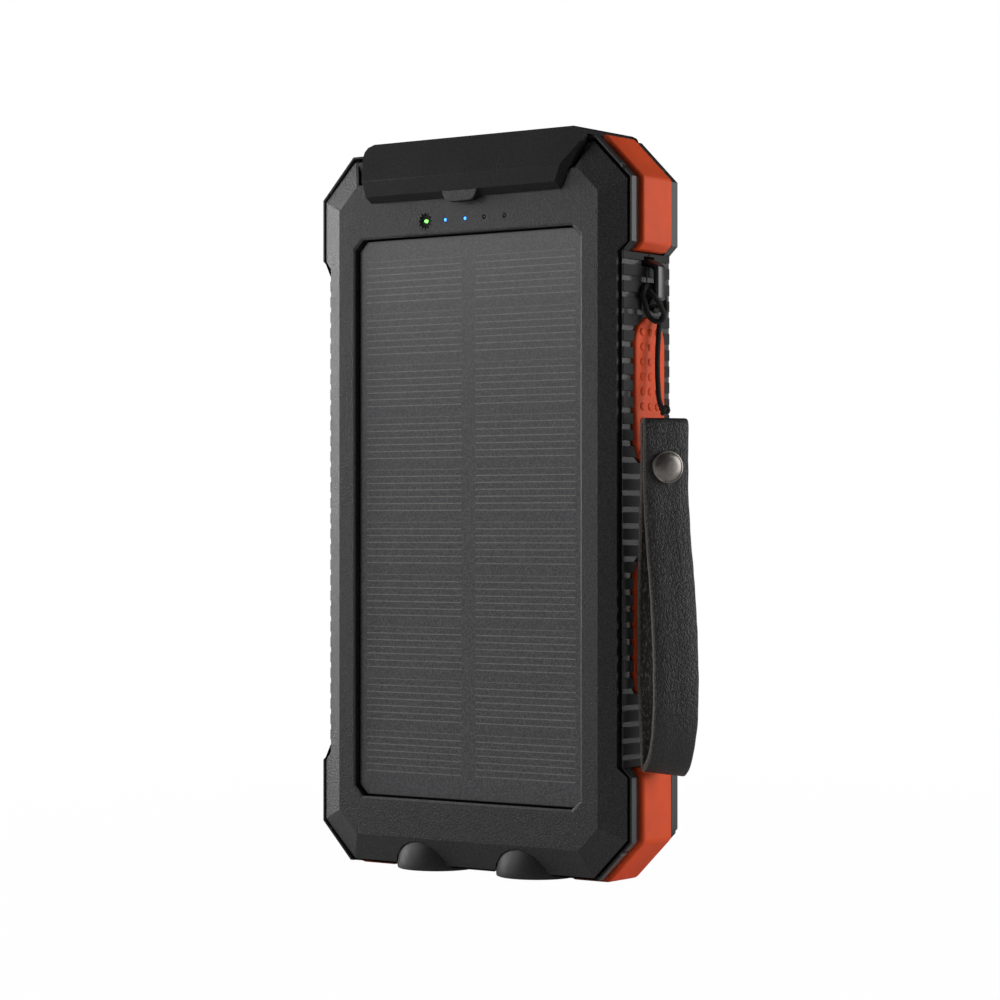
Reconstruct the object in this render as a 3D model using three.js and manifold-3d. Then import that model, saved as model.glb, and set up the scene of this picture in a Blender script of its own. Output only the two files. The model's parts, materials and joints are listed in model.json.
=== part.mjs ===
// A rugged solar power bank with a hinged port flap, two torches and a leather wrist strap.
// Millimetres, +Z up, the solar panel faces -Y and the object stands on its torch end.
import * as THREE from 'three';
import { ConvexGeometry } from 'three/addons/geometries/ConvexGeometry.js';
import { mergeVertices } from 'three/addons/utils/BufferGeometryUtils.js';
import Module from 'manifold-3d';

const wasm = await Module();
wasm.setup();

// Clearances. Cuts run past the faces that they open by the overrun.
const fit = 0.3;
const overrun = 2;
const partingGap = 0.3;

// Housing outline, seen from the front. The wings are the wide ends above and below the waist.
const housingWidth = 75;
const housingHeight = 141;
const cornerCut = 8.2;
const wingLength = 20.4;
const waistDepth = 1.85;
const waistSlope = 1.75;

// Depth of the layers, from the front cover's rim plane at y = 0 towards the back.
const faceDepth = 2.2;
const coverRim = 1;
const shadowGap = 0.46;
const frontRidge = 1.48;
const lipLength = 1.56;
const lipGap = 0.3;
const lipEdge = 0.4;
const lipSlope = 0.8;
const beadWidth = 1.5;
const valleyDepth = 0.2;
const valleySlope = 0.35;
const bumperBand = 10.5;
const rearRidge = 2.16;
const rearRim = 0.6;
const rearFaceDepth = 1.4;

// Covers.
const coverInset = 1.1;
const bevelWidth = 5.2;
const skirtWall = 1.2;
const skirtLength = 1.4;

// Frame walls round the inside of the housing.
const sideWall = 4.05;
const bottomWall = 4.5;
const topWall = 6.6;

// Solar panel and its window.
const windowBorder = 4;
const windowBelow = 7.6;
const windowAbove = 10.6;
const windowCut = 2;
const windowRim = 0.42;
const windowRimDepth = 0.16;
const windowDepth = 1.2;
const panelThickness = 1.6;
const pocketFloor = 1;
const pocketBorder = 1.2;
const panelTerminalWidth = 4;
const panelTerminalHeight = 1.6;
const panelTerminalDrop = 5;

// Indicator row above the window: a sun mark and four charge lights.
const indicatorRise = 2.8;
const indicatorPitch = 4.77;
const indicatorPlaces = [-2, -1, 0, 1, 2];
const pipeRadius = 0.32;
const pipeFit = 0.16;
const pipeSides = 10;
const pipeRecess = 0.1;
const sunOuter = 1.85;
const sunInner = 1.2;
const sunRays = 12;
const sunDepth = 0.35;

// Bumpers in the corners.
const bumperDepth = 3.3;
const bumperProud = 0.45;
const footHeight = 0.7;
const bumperToTorch = 1;
const heelCut = 1.5;

// Ribs on the waist.
const ribPitch = 3.1;
const ribGroove = 1.07;
const ribDepth = 0.5;
const ribGrooves = 31;

// Sealing rings between covers and frame halves.
const sealWidth = 1;
const sealDepth = 0.94;
const sealWall = 0.9;
const sealProud = 0.2;

// Power button and the grip inlays of the same shape.
const buttonWidth = 10;
const buttonToLug = 1.9;
const buttonFromMiddle = 8.2;
const buttonEdgeProud = 0.25;
const buttonCrown = 0.3;
const crownBorder = 1.7;
const buttonFlange = 0.6;
const flangeThickness = 1.2;
const buttonTravel = 0.6;
const obroundSteps = 8;
const dotRadius = 0.8;
const dotProud = 0.25;
const dotRows = 9;
const dotColumns = 3;
const dotRowShare = 0.1;
const dotColumnPitch = 2.55;
const dotSides = 6;
const inlayDepth = 2.6;
const nubRadius = 1.4;
const nubLength = 0.5;
const plungerRadius = 1.2;
const plungerLength = 0.8;
const switchSize = 5;
const switchHeight = 1.6;
const boardThickness = 1.2;
const buttonBoardWidth = 7;

// Strap lug, a staple held between the frame halves.
const lugToWing = 0.85;
const lugHeight = 9.4;
const lugProud = 2.95;
const lugThickness = 1.2;
const lugWidth = 2.9;
const lugSlope = 1.5;
const lugLeg = 2.6;

// Port bay in the top and its flap.
const bayMargin = 2.25;
const bayWidth = 8.1;
const bayDepth = 4.4;
const bayWall = 4.8;
const flapLift = 1.87;
const flapThickness = 1.57;
const flapProud = 1.5;
const flapRecede = 2.1;
const flapStrip = 2.9;
const flapLip = 1.47;
const flapDrop = 9.93;
const flapRightReach = 4.4;
const flapLeftReach = 1.9;
const flapFacet = 2.4;
const flapFacetDepth = 1.3;
const recessRightReach = 4.95;
const recessRightFoot = 2.5;
const recessLeftReach = 4.7;
const recessLeftFoot = 2.9;
const recessShoulder = 4.85;
const recessRise = 0.25;
const recessFloorDepth = 0.2;
const tabTopHalf = 4.2;
const tabSideHalf = 3.6;
const tabSideDrop = 0.55;
const tabBottomHalf = 2.6;
const tabDrop = 2.45;
const tabRise = 1.5;
const tabThickness = 1.2;
const hingeSetback = 0.3;
const barrelRadius = 1.2;
const pinRadius = 0.5;
const pinReach = 0.1;
const knuckleStart = 12;
const knuckleLength = 6;
const barrelSides = 12;
const sealPlugDepth = 1.4;
const sealPlugInset = 0.8;

// Ends of the flap seen from the front: shares of its reach sideways and of its height.
const flapRightShares = [
  [0.827, 0], [0.993, 0.74], [1, 0.842], [0.982, 0.935], [0.953, 0.977], [0.91, 1],
];
const flapLeftShares = [
  [0.86, 0], [0.872, 0.125], [0.935, 0.395], [0.97, 0.59], [0.992, 0.795], [0.984, 0.885],
  [0.957, 0.955], [0.9, 1],
];
const facetShares = [0.5, 1, 1, 0.9, 0.6, 0.4];

// Main board and ports.
const usbWidth = 13.1;
const usbHeight = 5.7;
const usbLength = 14;
const usbWall = 0.35;
const usbPlaceShare = 0.6083;
const tongueWidth = 11;
const tongueThickness = 1.7;
const tongueRecess = 0.8;
const tongueRoot = 1.2;
const microWidth = 7.6;
const microHeight = 2.7;
const microLength = 6;
const microWall = 0.3;
const microTongue = 0.6;
const boardToBoss = 0.4;
const mainBoardHeight = 21.5;

// Battery and foam.
const batteryMargin = 2.4;
const batterySwitchMargin = 7.9;
const batteryBelow = 5;
const batteryGapAbove = 2;
const batteryFront = 4.4;
const batteryThickness = 9.4;
const batteryCorner = 2.5;
const foamInset = 6;
const tabStripWidth = 4;
const tabStripThickness = 0.3;
const tabStripLength = 4;
const tabStripPlace = 7;
const flexWidth = 4;
const flexThickness = 0.3;
const flexPlace = 18;
const flexOverlap = 4;

// Torches in the lower end.
const torchPlaceShare = 0.383;
const torchRadiusShare = 0.25;
const torchHeight = 10.4;
const torchForward = 3.53;
const torchSides = 24;
const torchArcSteps = 8;
const lensBorder = 1.7;
const lensRecess = 0.7;
const lensThickness = 1.3;
const lensSeat = 0.4;
const reflectorThroat = 1.9;
const throatHeight = 7.6;
const ledRadius = 1.4;
const ledDrop = 0.4;
const torchRoof = 2;
const torchBlockWall = 1.2;
const torchBoardReach = 5.9;
const torchBoardFront = 3;
const torchBoardBack = 7;

// Screws that pull the covers together.
const screwFromWall = 5;
const screwBelow = 9.6;
const screwAbove = 10.4;
const bossRadius = 2.2;
const screwRadius = 0.8;
const headRadius = 1.6;
const headHeight = 1;
const headRecess = 0.3;
const screwGrip = 4;
const screwSides = 12;

// Wrist strap, its rivet and its cord. The strap hangs turned about the upright.
const strapTurnDegrees = 55;
const strapX = 41.5;
const strapY = 4.9;
const strapTop = 87.6;
const strapWidth = 8.8;
const rivetRadius = 2.95;
const rivetDome = 0.8;
const rivetRim = 0.35;
const rivetDrop = 9.2;
const rivetBackRadius = 2;
const rivetSides = 16;
const cordRadius = 0.52;
const cordSides = 8;
const cordStep = 1.25;
const knotRadius = 1.15;
const knotTurns = 3;

// Outer line of the strap loop: shares of its bulge across the loop and of its length downwards.
const strapBulge = 6.55;
const strapLength = 66.8;
const strapLineShares = [
  [0, 0], [0.145, 0.005], [0.2, 0.024], [0.19, 0.09], [0.183, 0.15], [0.19, 0.21], [0.35, 0.33],
  [0.64, 0.464], [0.86, 0.6], [0.965, 0.72], [0.975, 0.79], [0.9, 0.855], [0.76, 0.905],
  [0.5, 0.957], [0.2, 0.985], [-0.08, 0.998], [-0.25, 0.993], [-0.34, 0.955], [-0.385, 0.88],
  [-0.44, 0.778], [-0.458, 0.629],
  [-0.412, 0.464], [-0.305, 0.3], [-0.198, 0.18], [-0.19, 0.09], [-0.2, 0.024], [-0.145, 0.005],
];
// Inside line of the same loop, below the rivet.
const strapHollowShares = [
  [0, 0.219], [0.16, 0.33], [0.45, 0.464], [0.672, 0.6], [0.778, 0.72], [0.785, 0.785],
  [0.72, 0.845], [0.6, 0.888], [0.4, 0.94], [0.14, 0.967], [-0.07, 0.979], [-0.14, 0.967],
  [-0.165, 0.93], [-0.2, 0.87], [-0.25, 0.778], [-0.267, 0.629], [-0.221, 0.464], [-0.122, 0.3],
];
const strapLapShare = 0.19;
const strapLineSteps = 72;
const strapHollowSteps = 48;

// The cord's route from under the lug's lower arm, twice round it and down to the knot.
const cordRoute = [
  [36.5, 8.4, 108.4], [36.45, 9.3, 108.1], [36.4, 10.35, 108.3], [36.4, 11, 109.2],
  [36.4, 10.8, 110.35], [36.4, 9.85, 111.15], [36.4, 8.6, 111.3], [36.5, 7.5, 111.4],
  [36.85, 6.7, 111.45], [37.5, 6.35, 111.2], [38.4, 6.35, 110.45], [39.05, 6.6, 109.45],
  [39.5, 7.05, 108.3], [39.65, 7.5, 107.2], [39.35, 7.7, 106.3], [38.65, 7.5, 105.9],
  [37.85, 7.15, 106], [37.15, 6.75, 106.6], [36.65, 6.4, 107.7], [36.4, 6.05, 109.2],
  [36.35, 5.55, 110.9], [36.4, 5.9, 112.25], [36.5, 7.1, 112.8], [36.55, 8.7, 112.75],
  [36.55, 10.4, 112.55], [36.65, 11.75, 111.6], [36.9, 12.15, 110], [37.4, 11.8, 108.5],
  [37.65, 10.8, 107.5], [37.7, 9.9, 106.8], [37.75, 9.2, 105.9], [37.85, 8.6, 104.7],
  [38.1, 8, 102.7], [38.2, 7.6, 100.2], [38.25, 7.45, 97.7], [38.5, 7.15, 95.4],
  [38.85, 6.8, 93.5], [39.3, 6.3, 91.6], [40.3, 5.45, 89.85],
];

// Values that follow from the sizes above.
const halfWidth = housingWidth / 2;
const insetCornerShare = 2 - Math.SQRT2;
const frameFront = coverRim + shadowGap;
const bumperFront = frameFront + frontRidge;
const bumperBack = bumperFront + bumperBand;
const frameBack = bumperBack + rearRidge;
const middle = (frameFront + frameBack) / 2;
const frontHalfBack = middle - partingGap / 2;
const rearHalfFront = middle + partingGap / 2;
const rearRimFront = frameBack + shadowGap;
const rearRimBack = rearRimFront + rearRim;
const rearFace = rearRimBack + rearFaceDepth;
const middleHeight = housingHeight / 2;

const waistHalf = halfWidth - waistDepth;
const openingHalf = waistHalf - sideWall;
const openingTop = housingHeight - topWall;

const faceInset = coverInset + bevelWidth;
const faceHalf = halfWidth - faceInset;
const faceTop = housingHeight - faceInset;
const windowHalf = faceHalf - windowBorder;
const windowBottom = faceInset + windowBelow;
const windowTop = faceTop - windowAbove;
const panelFront = windowDepth - faceDepth;
const panelBack = panelFront + panelThickness;
const pocketBack = panelBack + fit;
const padBack = pocketBack + pocketFloor;
const indicatorHeight = windowTop + indicatorRise;

const flapTop = housingHeight + flapLift;
const flapUnder = flapTop - flapThickness;
const stripFront = -faceDepth - flapProud;
const lipBottom = housingHeight - flapDrop;
const hingeY = frameBack + hingeSetback;
const hingeZ = flapTop - barrelRadius;

const screwSide = openingHalf - screwFromWall;
const mainBoardHalf = screwSide - bossRadius - boardToBoss;
const usbFromMiddle = mainBoardHalf * usbPlaceShare;
const mainBoardTop = openingTop - fit;
const mainBoardBottom = mainBoardTop - mainBoardHeight;
const usbTop = housingHeight - bayDepth;
const boardBack = middle - usbHeight / 2 - fit;
const boardFront = boardBack - boardThickness;

const bayHalfWidth = usbFromMiddle + usbWidth / 2 + bayMargin;
const flapRight = bayHalfWidth + flapRightReach;
const flapLeft = bayHalfWidth + flapLeftReach;
const recessFloor = -recessFloorDepth;
const recessBottom = faceTop + recessRise;
const pinHalf = bayHalfWidth + pinReach;

const torchPlace = openingHalf * torchPlaceShare;
const torchRadius = openingHalf * torchRadiusShare;
const lensRadius = torchRadius - lensBorder;
const reflectorRadius = lensRadius - lensSeat;
const torchBoardHalf = torchPlace + torchBoardReach;
const torchY = middle - torchForward;
const torchBlockHalf = torchPlace + torchRadius + torchBlockWall;
const torchBlockTop = torchHeight + fit + torchRoof;
const torchBoardBottom = torchBlockTop + fit;
const torchBoardTop = torchBoardBottom + boardThickness;
const batteryBottom = torchBoardTop + batteryBelow;
const batteryTop = mainBoardBottom - batteryGapAbove;
const batteryLeft = -openingHalf + batteryMargin;
const batteryRight = openingHalf - batterySwitchMargin;
const batteryBack = batteryFront + batteryThickness;

const lugOuter = waistHalf + lugProud;
const lugMiddle = housingHeight - wingLength - waistSlope - lugToWing - lugHeight / 2;
const buttonTop = lugMiddle - lugHeight / 2 - buttonToLug;
const buttonBottom = middleHeight + buttonFromMiddle;
const buttonLength = buttonTop - buttonBottom;
const buttonHigh = (buttonTop + buttonBottom) / 2;
const buttonLow = housingHeight - buttonHigh;
const buttonEdge = waistHalf + buttonEdgeProud;
const buttonOuter = buttonEdge + buttonCrown;
const dotRowPitch = buttonLength * dotRowShare;
const bumperTopStart = bayHalfWidth + bayWall;
const bumperBottomStart = torchPlace + torchRadius + bumperToTorch;

// Materials.
const shellBlack = { color: 0x1c1c1d, roughness: 0.62, metalness: 0 };
const ribBlack = { color: 0x222223, roughness: 0.5, metalness: 0 };
const rubberBlack = { color: 0x1a1a1b, roughness: 0.7, metalness: 0 };
const rubberRed = { color: 0xc23a1e, roughness: 0.5, metalness: 0 };
const panelDark = { color: 0x202124, roughness: 0.35, metalness: 0.1 };
const sealGrey = { color: 0x3a3a3c, roughness: 0.8, metalness: 0 };
const boardGreen = { color: 0x14532d, roughness: 0.55, metalness: 0 };
const steelBright = { color: 0xb9bcc0, roughness: 0.3, metalness: 1 };
const steelDark = { color: 0x5c5854, roughness: 0.35, metalness: 1 };
const lugBlack = { color: 0x0c0c0d, roughness: 0.18, metalness: 0 };
const tongueWhite = { color: 0xe9e9e6, roughness: 0.5, metalness: 0 };
const batterySilver = { color: 0xa8abaf, roughness: 0.45, metalness: 0.6 };
const foamDark = { color: 0x2b2b2d, roughness: 0.95, metalness: 0 };
const nickel = { color: 0xc6c4bd, roughness: 0.35, metalness: 1 };
const flexAmber = { color: 0xa8641c, roughness: 0.5, metalness: 0 };
const reflectorChrome = { color: 0x2a2a2c, roughness: 0.3, metalness: 0.2 };
const lensClear = { color: 0xdfe6ea, roughness: 0.08, metalness: 0 };
const ledYellow = { color: 0xf0e08a, roughness: 0.4, metalness: 0 };
const lightGreen = { color: 0x7be27c, roughness: 0.3, metalness: 0 };
const lightBlue = { color: 0x4aa3f0, roughness: 0.3, metalness: 0 };
const lightOff = { color: 0x2b2b30, roughness: 0.3, metalness: 0 };
const leatherBlack = { color: 0x262627, roughness: 0.6, metalness: 0 };
const cordBlack = { color: 0x17130f, roughness: 0.9, metalness: 0 };

const group = new THREE.Group();

// A closed geometry becomes a solid that can be joined and cut.
function solid(geometry) {
  geometry.deleteAttribute('normal');
  geometry.deleteAttribute('uv');
  const merged = mergeVertices(geometry);
  return new wasm.Manifold(new wasm.Mesh({
    numProp: 3,
    vertProperties: Float32Array.from(merged.attributes.position.array),
    triVerts: Uint32Array.from(merged.index.array),
  }));
}

function place(name, body, look) {
  const mesh = body.getMesh();
  const geometry = new THREE.BufferGeometry();
  geometry.setAttribute('position', new THREE.BufferAttribute(mesh.vertProperties, 3));
  geometry.setIndex(new THREE.BufferAttribute(mesh.triVerts, 1));
  geometry.computeVertexNormals();
  const node = new THREE.Mesh(geometry, new THREE.MeshStandardMaterial(look));
  node.name = name;
  group.add(node);
}

function union(bodies) {
  return bodies.reduce((sum, body) => sum.add(body));
}

function cut(body, tools) {
  return tools.reduce((rest, tool) => rest.subtract(tool), body);
}

// Points of an outline in the plane square to an axis, extruded along that axis.
const planes = {
  x: [new THREE.Vector3(0, 1, 0), new THREE.Vector3(0, 0, 1), new THREE.Vector3(1, 0, 0)],
  y: [new THREE.Vector3(1, 0, 0), new THREE.Vector3(0, 0, 1), new THREE.Vector3(0, -1, 0)],
  z: [new THREE.Vector3(1, 0, 0), new THREE.Vector3(0, 1, 0), new THREE.Vector3(0, 0, 1)],
};

function prism(points, axis, from, to) {
  const shape = new THREE.Shape(points.map(([u, v]) => new THREE.Vector2(u, v)));
  const geometry = new THREE.ExtrudeGeometry(shape, { depth: to - from, bevelEnabled: false });
  const turn = new THREE.Matrix4().makeBasis(...planes[axis]);
  const start = planes[axis][2].clone();
  start.multiplyScalar(axis === 'y' ? -to : from);
  turn.setPosition(start);
  geometry.applyMatrix4(turn);
  return solid(geometry);
}

function box(x0, x1, y0, y1, z0, z1) {
  const geometry = new THREE.BoxGeometry(x1 - x0, y1 - y0, z1 - z0);
  geometry.translate((x0 + x1) / 2, (y0 + y1) / 2, (z0 + z1) / 2);
  return solid(geometry);
}

function rod(axis, radius, from, to, centre, sides) {
  const geometry = new THREE.CylinderGeometry(radius, radius, to - from, sides);
  const centreAlong = (from + to) / 2;
  if (axis === 'x') {
    geometry.rotateZ(Math.PI / 2);
    geometry.translate(centreAlong, centre[0], centre[1]);
  } else if (axis === 'y') {
    geometry.translate(centre[0], centreAlong, centre[1]);
  } else {
    geometry.rotateX(Math.PI / 2);
    geometry.translate(centre[0], centre[1], centreAlong);
  }
  return solid(geometry);
}

function octagon(half, bottom, top, corner) {
  const right = [
    [half - corner, bottom], [half, bottom + corner], [half, top - corner], [half - corner, top],
  ];
  return right.concat(right.map(([x, z]) => [-x, z]).reverse());
}

function housingOctagon(inset) {
  const corner = cornerCut - inset * insetCornerShare;
  return octagon(halfWidth - inset, inset, housingHeight - inset, corner);
}

// The outline with its waist. The notches keep their height at every inset.
function housingOutline(inset) {
  const half = halfWidth - inset;
  const corner = cornerCut - inset * insetCornerShare;
  const right = [
    [half - corner, inset],
    [half, inset + corner],
    [half, wingLength],
    [half - waistDepth, wingLength + waistSlope],
    [half - waistDepth, housingHeight - wingLength - waistSlope],
    [half, housingHeight - wingLength],
    [half, housingHeight - inset - corner],
    [half - corner, housingHeight - inset],
  ];
  return right.concat(right.map(([x, z]) => [-x, z]).reverse());
}

function openingOutline(inset) {
  const corner = cornerCut - (halfWidth - openingHalf + inset) * insetCornerShare;
  return octagon(openingHalf - inset, bottomWall + inset, openingTop - inset, corner);
}

function windowOutline(grow) {
  return octagon(windowHalf + grow, windowBottom - grow, windowTop + grow, windowCut);
}

function at(points, y) {
  return points.map(([x, z]) => new THREE.Vector3(x, y, z));
}

// A solid between two outlines of equal count at two depths.
function loft(near, far, y0, y1) {
  const count = near.length;
  const points = [...at(near, y0), ...at(far, y1)];
  const flat = near.map(([x, z]) => new THREE.Vector2(x, z));
  const faces = THREE.ShapeUtils.triangulateShape(flat, []).flatMap(([a, b, c]) => (
    [a, b, c, count + a, count + c, count + b]));
  for (let i = 0; i < count; i += 1) {
    const next = (i + 1) % count;
    faces.push(i, count + i, next, next, count + i, count + next);
  }
  const geometry = new THREE.BufferGeometry().setFromPoints(points);
  geometry.setIndex(faces);
  return solid(geometry);
}

function obround(length, width, steps) {
  const radius = width / 2;
  const reach = length / 2 - radius;
  const points = [];
  for (let i = 0; i <= steps; i += 1) {
    const angle = Math.PI * i / steps;
    points.push([radius * Math.cos(angle), reach + radius * Math.sin(angle)]);
  }
  return points.concat(points.map(([u, v]) => [-u, -v]));
}

function moved(points, du, dv) {
  return points.map(([u, v]) => [u + du, v + dv]);
}

// Torch dome, full size or grown by a clearance.
function torchDome(side, grow) {
  const profile = [new THREE.Vector2(0, -grow)];
  for (let i = 0; i <= torchArcSteps; i += 1) {
    const angle = Math.PI / 2 * i / torchArcSteps;
    profile.push(new THREE.Vector2(
      (torchRadius + grow) * Math.cos(angle), (torchHeight + grow) * Math.sin(angle)));
  }
  if (grow > 0) profile.splice(1, 0, new THREE.Vector2(torchRadius + grow, -grow));
  profile[profile.length - 1].x = 0;
  const geometry = new THREE.LatheGeometry(profile, torchSides);
  geometry.rotateX(Math.PI / 2);
  geometry.translate(side * torchPlace, torchY, 0);
  return solid(geometry);
}

const sides = { left: -1, right: 1 };
const domeClearances = Object.values(sides).map((side) => torchDome(side, fit));
const screwHeights = { lower: screwBelow, upper: housingHeight - screwAbove };

function forScrews(make) {
  return Object.values(sides).flatMap((side) => (
    Object.values(screwHeights).map((height) => make([side * screwSide, height]))));
}

function skirt(from, to) {
  const outer = prism(openingOutline(fit), 'y', from, to);
  const inner = prism(openingOutline(fit + skirtWall), 'y', from - overrun, to + overrun);
  return outer.subtract(inner);
}

// A cover: bevelled from its rim to its face and trimmed to the waisted outline.
function coverShell(face, rimNear, rimFar) {
  const points = [
    ...at(housingOctagon(faceInset), face),
    ...at(housingOctagon(coverInset), rimNear),
    ...at(housingOctagon(coverInset), rimFar),
  ];
  const low = Math.min(face, rimFar) - overrun;
  const high = Math.max(face, rimFar) + overrun;
  const trim = prism(housingOutline(coverInset), 'y', low, high);
  return solid(new ConvexGeometry(points)).intersect(trim);
}

function sunMark(centre) {
  const points = [];
  for (let i = 0; i < sunRays * 2; i += 1) {
    const radius = i % 2 === 0 ? sunOuter : sunInner;
    const angle = Math.PI * i / sunRays;
    points.push([centre[0] + radius * Math.cos(angle), centre[1] + radius * Math.sin(angle)]);
  }
  return prism(points, 'y', -faceDepth - overrun, -faceDepth + sunDepth);
}

function indicatorCentres() {
  return indicatorPlaces.map((step) => [step * indicatorPitch, indicatorHeight]);
}

// The flap's recess widens upwards beside the flap's ends.
function recessOutline() {
  const shoulder = recessBottom + recessShoulder;
  return [
    [-bayHalfWidth - recessLeftFoot, recessBottom], [bayHalfWidth + recessRightFoot, recessBottom],
    [bayHalfWidth + recessRightReach, shoulder], [bayHalfWidth + recessRightReach, housingHeight],
    [-bayHalfWidth - recessLeftReach, housingHeight], [-bayHalfWidth - recessLeftReach, shoulder],
  ];
}

function frontCover() {
  const bosses = forScrews((centre) => (
    rod('y', bossRadius, 0, frontHalfBack, centre, screwSides)));
  const body = union([
    coverShell(-faceDepth, 0, coverRim),
    prism(windowOutline(pocketBorder), 'y', 0, padBack),
    skirt(0, coverRim + skirtLength),
    ...bosses,
  ]);
  const pocket = prism(windowOutline(0), 'y', -faceDepth - overrun, pocketBack);
  const rim = loft(windowOutline(windowRim * 2), windowOutline(0),
    -faceDepth - windowRimDepth, -faceDepth + windowRimDepth);
  const terminalTop = windowTop - panelTerminalDrop;
  const terminalHalf = panelTerminalWidth / 2 + fit;
  const terminal = box(-terminalHalf, terminalHalf, 0, padBack + overrun,
    terminalTop - panelTerminalHeight - fit, terminalTop + fit);
  const pipes = indicatorCentres().map((centre) => (
    rod('y', pipeRadius + pipeFit, -faceDepth - overrun, padBack + overrun, centre, pipeSides)));
  const holes = forScrews((centre) => (
    rod('y', screwRadius + fit, frontHalfBack - screwGrip - fit, frontHalfBack + overrun,
      centre, screwSides)));
  const recess = prism(recessOutline(), 'y', -faceDepth - overrun, recessFloor);
  return cut(body, [
    pocket, rim, terminal, recess, sunMark(indicatorCentres()[0]), ...pipes, ...holes,
    ...domeClearances,
  ]);
}

function rearCover() {
  const bosses = forScrews((centre) => (
    rod('y', bossRadius, rearHalfFront, rearRimBack, centre, screwSides)));
  const body = union([
    coverShell(rearFace, rearRimBack, rearRimFront),
    skirt(rearRimFront - skirtLength, rearRimBack),
    ...bosses,
  ]);
  const shafts = forScrews((centre) => (
    rod('y', screwRadius + fit, rearHalfFront - overrun, rearFace + overrun, centre, screwSides)));
  const heads = forScrews((centre) => (
    rod('y', headRadius + fit, rearFace - headRecess - headHeight - fit, rearFace + overrun,
      centre, screwSides)));
  return cut(body, [...shafts, ...heads, ...domeClearances]);
}

// Corner regions that the bumpers fill, each shrunk by a clearance.
function cornerRegion(side, upper, shrink) {
  const start = (upper ? bumperTopStart : bumperBottomStart) + shrink;
  const reach = halfWidth + overrun;
  const [x0, x1] = side > 0 ? [start, reach] : [-reach, -start];
  const notch = wingLength + waistSlope;
  const z0 = upper ? housingHeight - notch + shrink : 0;
  const z1 = upper ? housingHeight + overrun : notch - shrink;
  return box(x0, x1, bumperFront + shrink, bumperBack - shrink, z0, z1);
}

function bumperSlots() {
  const core = prism(housingOutline(bumperDepth), 'y', 0, rearFace);
  return Object.values(sides).flatMap((side) => (
    [true, false].map((upper) => cornerRegion(side, upper, 0).subtract(core))));
}

function bumper(side, upper) {
  const skin = prism(housingOutline(-bumperProud), 'y', 0, rearFace);
  const core = prism(housingOutline(bumperDepth - fit), 'y', -overrun, rearFace + overrun);
  return cornerRegion(side, upper, fit).intersect(skin).subtract(core);
}

function ribCuts() {
  const cuts = [];
  const floor = waistHalf - ribDepth;
  for (let i = 0; i < ribGrooves; i += 1) {
    const centre = middleHeight + (i - (ribGrooves - 1) / 2) * ribPitch;
    const z0 = centre - ribGroove / 2;
    const z1 = centre + ribGroove / 2;
    cuts.push(box(floor, halfWidth + overrun, frameFront - overrun, frameBack + overrun, z0, z1));
    cuts.push(box(-halfWidth - overrun, -floor, frameFront - overrun, frameBack + overrun, z0, z1));
  }
  return cuts;
}

function sealRing(y0, y1, grow) {
  const outer = openingOutline(-sealWall - sealWidth - grow);
  const inner = openingOutline(-sealWall + grow);
  return prism(outer, 'y', y0, y1).subtract(prism(inner, 'y', y0 - overrun, y1 + overrun));
}

// The front ring stops at the torches, which reach through it.
function frontSeal() {
  const ring = sealRing(frameFront - sealProud, frameFront + sealDepth - fit, -fit / 2);
  return ring.subtract(box(-torchBlockHalf, torchBlockHalf, -overrun, frontHalfBack,
    -overrun, bottomWall));
}

function sidePocket(side, height, depth) {
  const grown = obround(buttonLength + fit * 2, buttonWidth + fit * 2, obroundSteps);
  const points = moved(grown, middle, height);
  const floor = waistHalf - depth;
  const reach = halfWidth + overrun;
  return side > 0 ? prism(points, 'x', floor, reach) : prism(points, 'x', -reach, -floor);
}

function sideOpenings() {
  return [
    sidePocket(sides.right, buttonHigh, sideWall + overrun),
    sidePocket(sides.right, buttonLow, inlayDepth + fit),
    sidePocket(sides.left, buttonHigh, inlayDepth + fit),
    sidePocket(sides.left, buttonLow, inlayDepth + fit),
  ];
}

function lugSeat() {
  const half = lugHeight / 2;
  const leg = waistHalf - lugLeg - fit;
  return [-half - fit, half - lugThickness - fit].map((start) => (
    box(leg, halfWidth + overrun, middle - lugWidth / 2 - fit, middle + lugWidth / 2 + fit,
      lugMiddle + start, lugMiddle + start + lugThickness + fit * 2)));
}

function portCuts() {
  const bay = box(-bayHalfWidth, bayHalfWidth, middle - bayWidth / 2, middle + bayWidth / 2,
    usbTop, housingHeight + overrun);
  const slots = Object.values(sides).map((side) => {
    const centre = side * usbFromMiddle;
    const half = usbWidth / 2 + fit;
    return box(centre - half, centre + half, middle - usbHeight / 2 - fit,
      middle + usbHeight / 2 + fit, openingTop - overrun, housingHeight + overrun);
  });
  const microHalf = microWidth / 2 + fit;
  const micro = box(-microHalf, microHalf, middle - microHeight / 2 - fit,
    middle + microHeight / 2 + fit, openingTop - overrun, housingHeight + overrun);
  return [bay, ...slots, micro];
}

function frameCuts() {
  return [
    ...bumperSlots(), ...ribCuts(), ...sideOpenings(), ...lugSeat(), ...portCuts(),
    ...domeClearances,
  ];
}

// The block over the torches carries their domes and the board above them.
function torchBlock(y0, y1) {
  return box(-torchBlockHalf, torchBlockHalf, y0, y1, bottomWall - overrun, torchBlockTop);
}

function ledHoles() {
  return Object.values(sides).map((side) => rod('z', ledRadius + fit, torchHeight - overrun,
    torchBlockTop + overrun, torchCentre(side), barrelSides));
}

// The frames end above the ground, and the lower bumpers are the feet.
function frameRing(y0, y1) {
  const hole = prism(openingOutline(0), 'y', y0 - overrun, y1 + overrun);
  const below = box(-halfWidth, halfWidth, y0 - overrun, y1 + overrun, -overrun, footHeight);
  return prism(housingOutline(0), 'y', y0, y1).subtract(hole).subtract(below);
}

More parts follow.
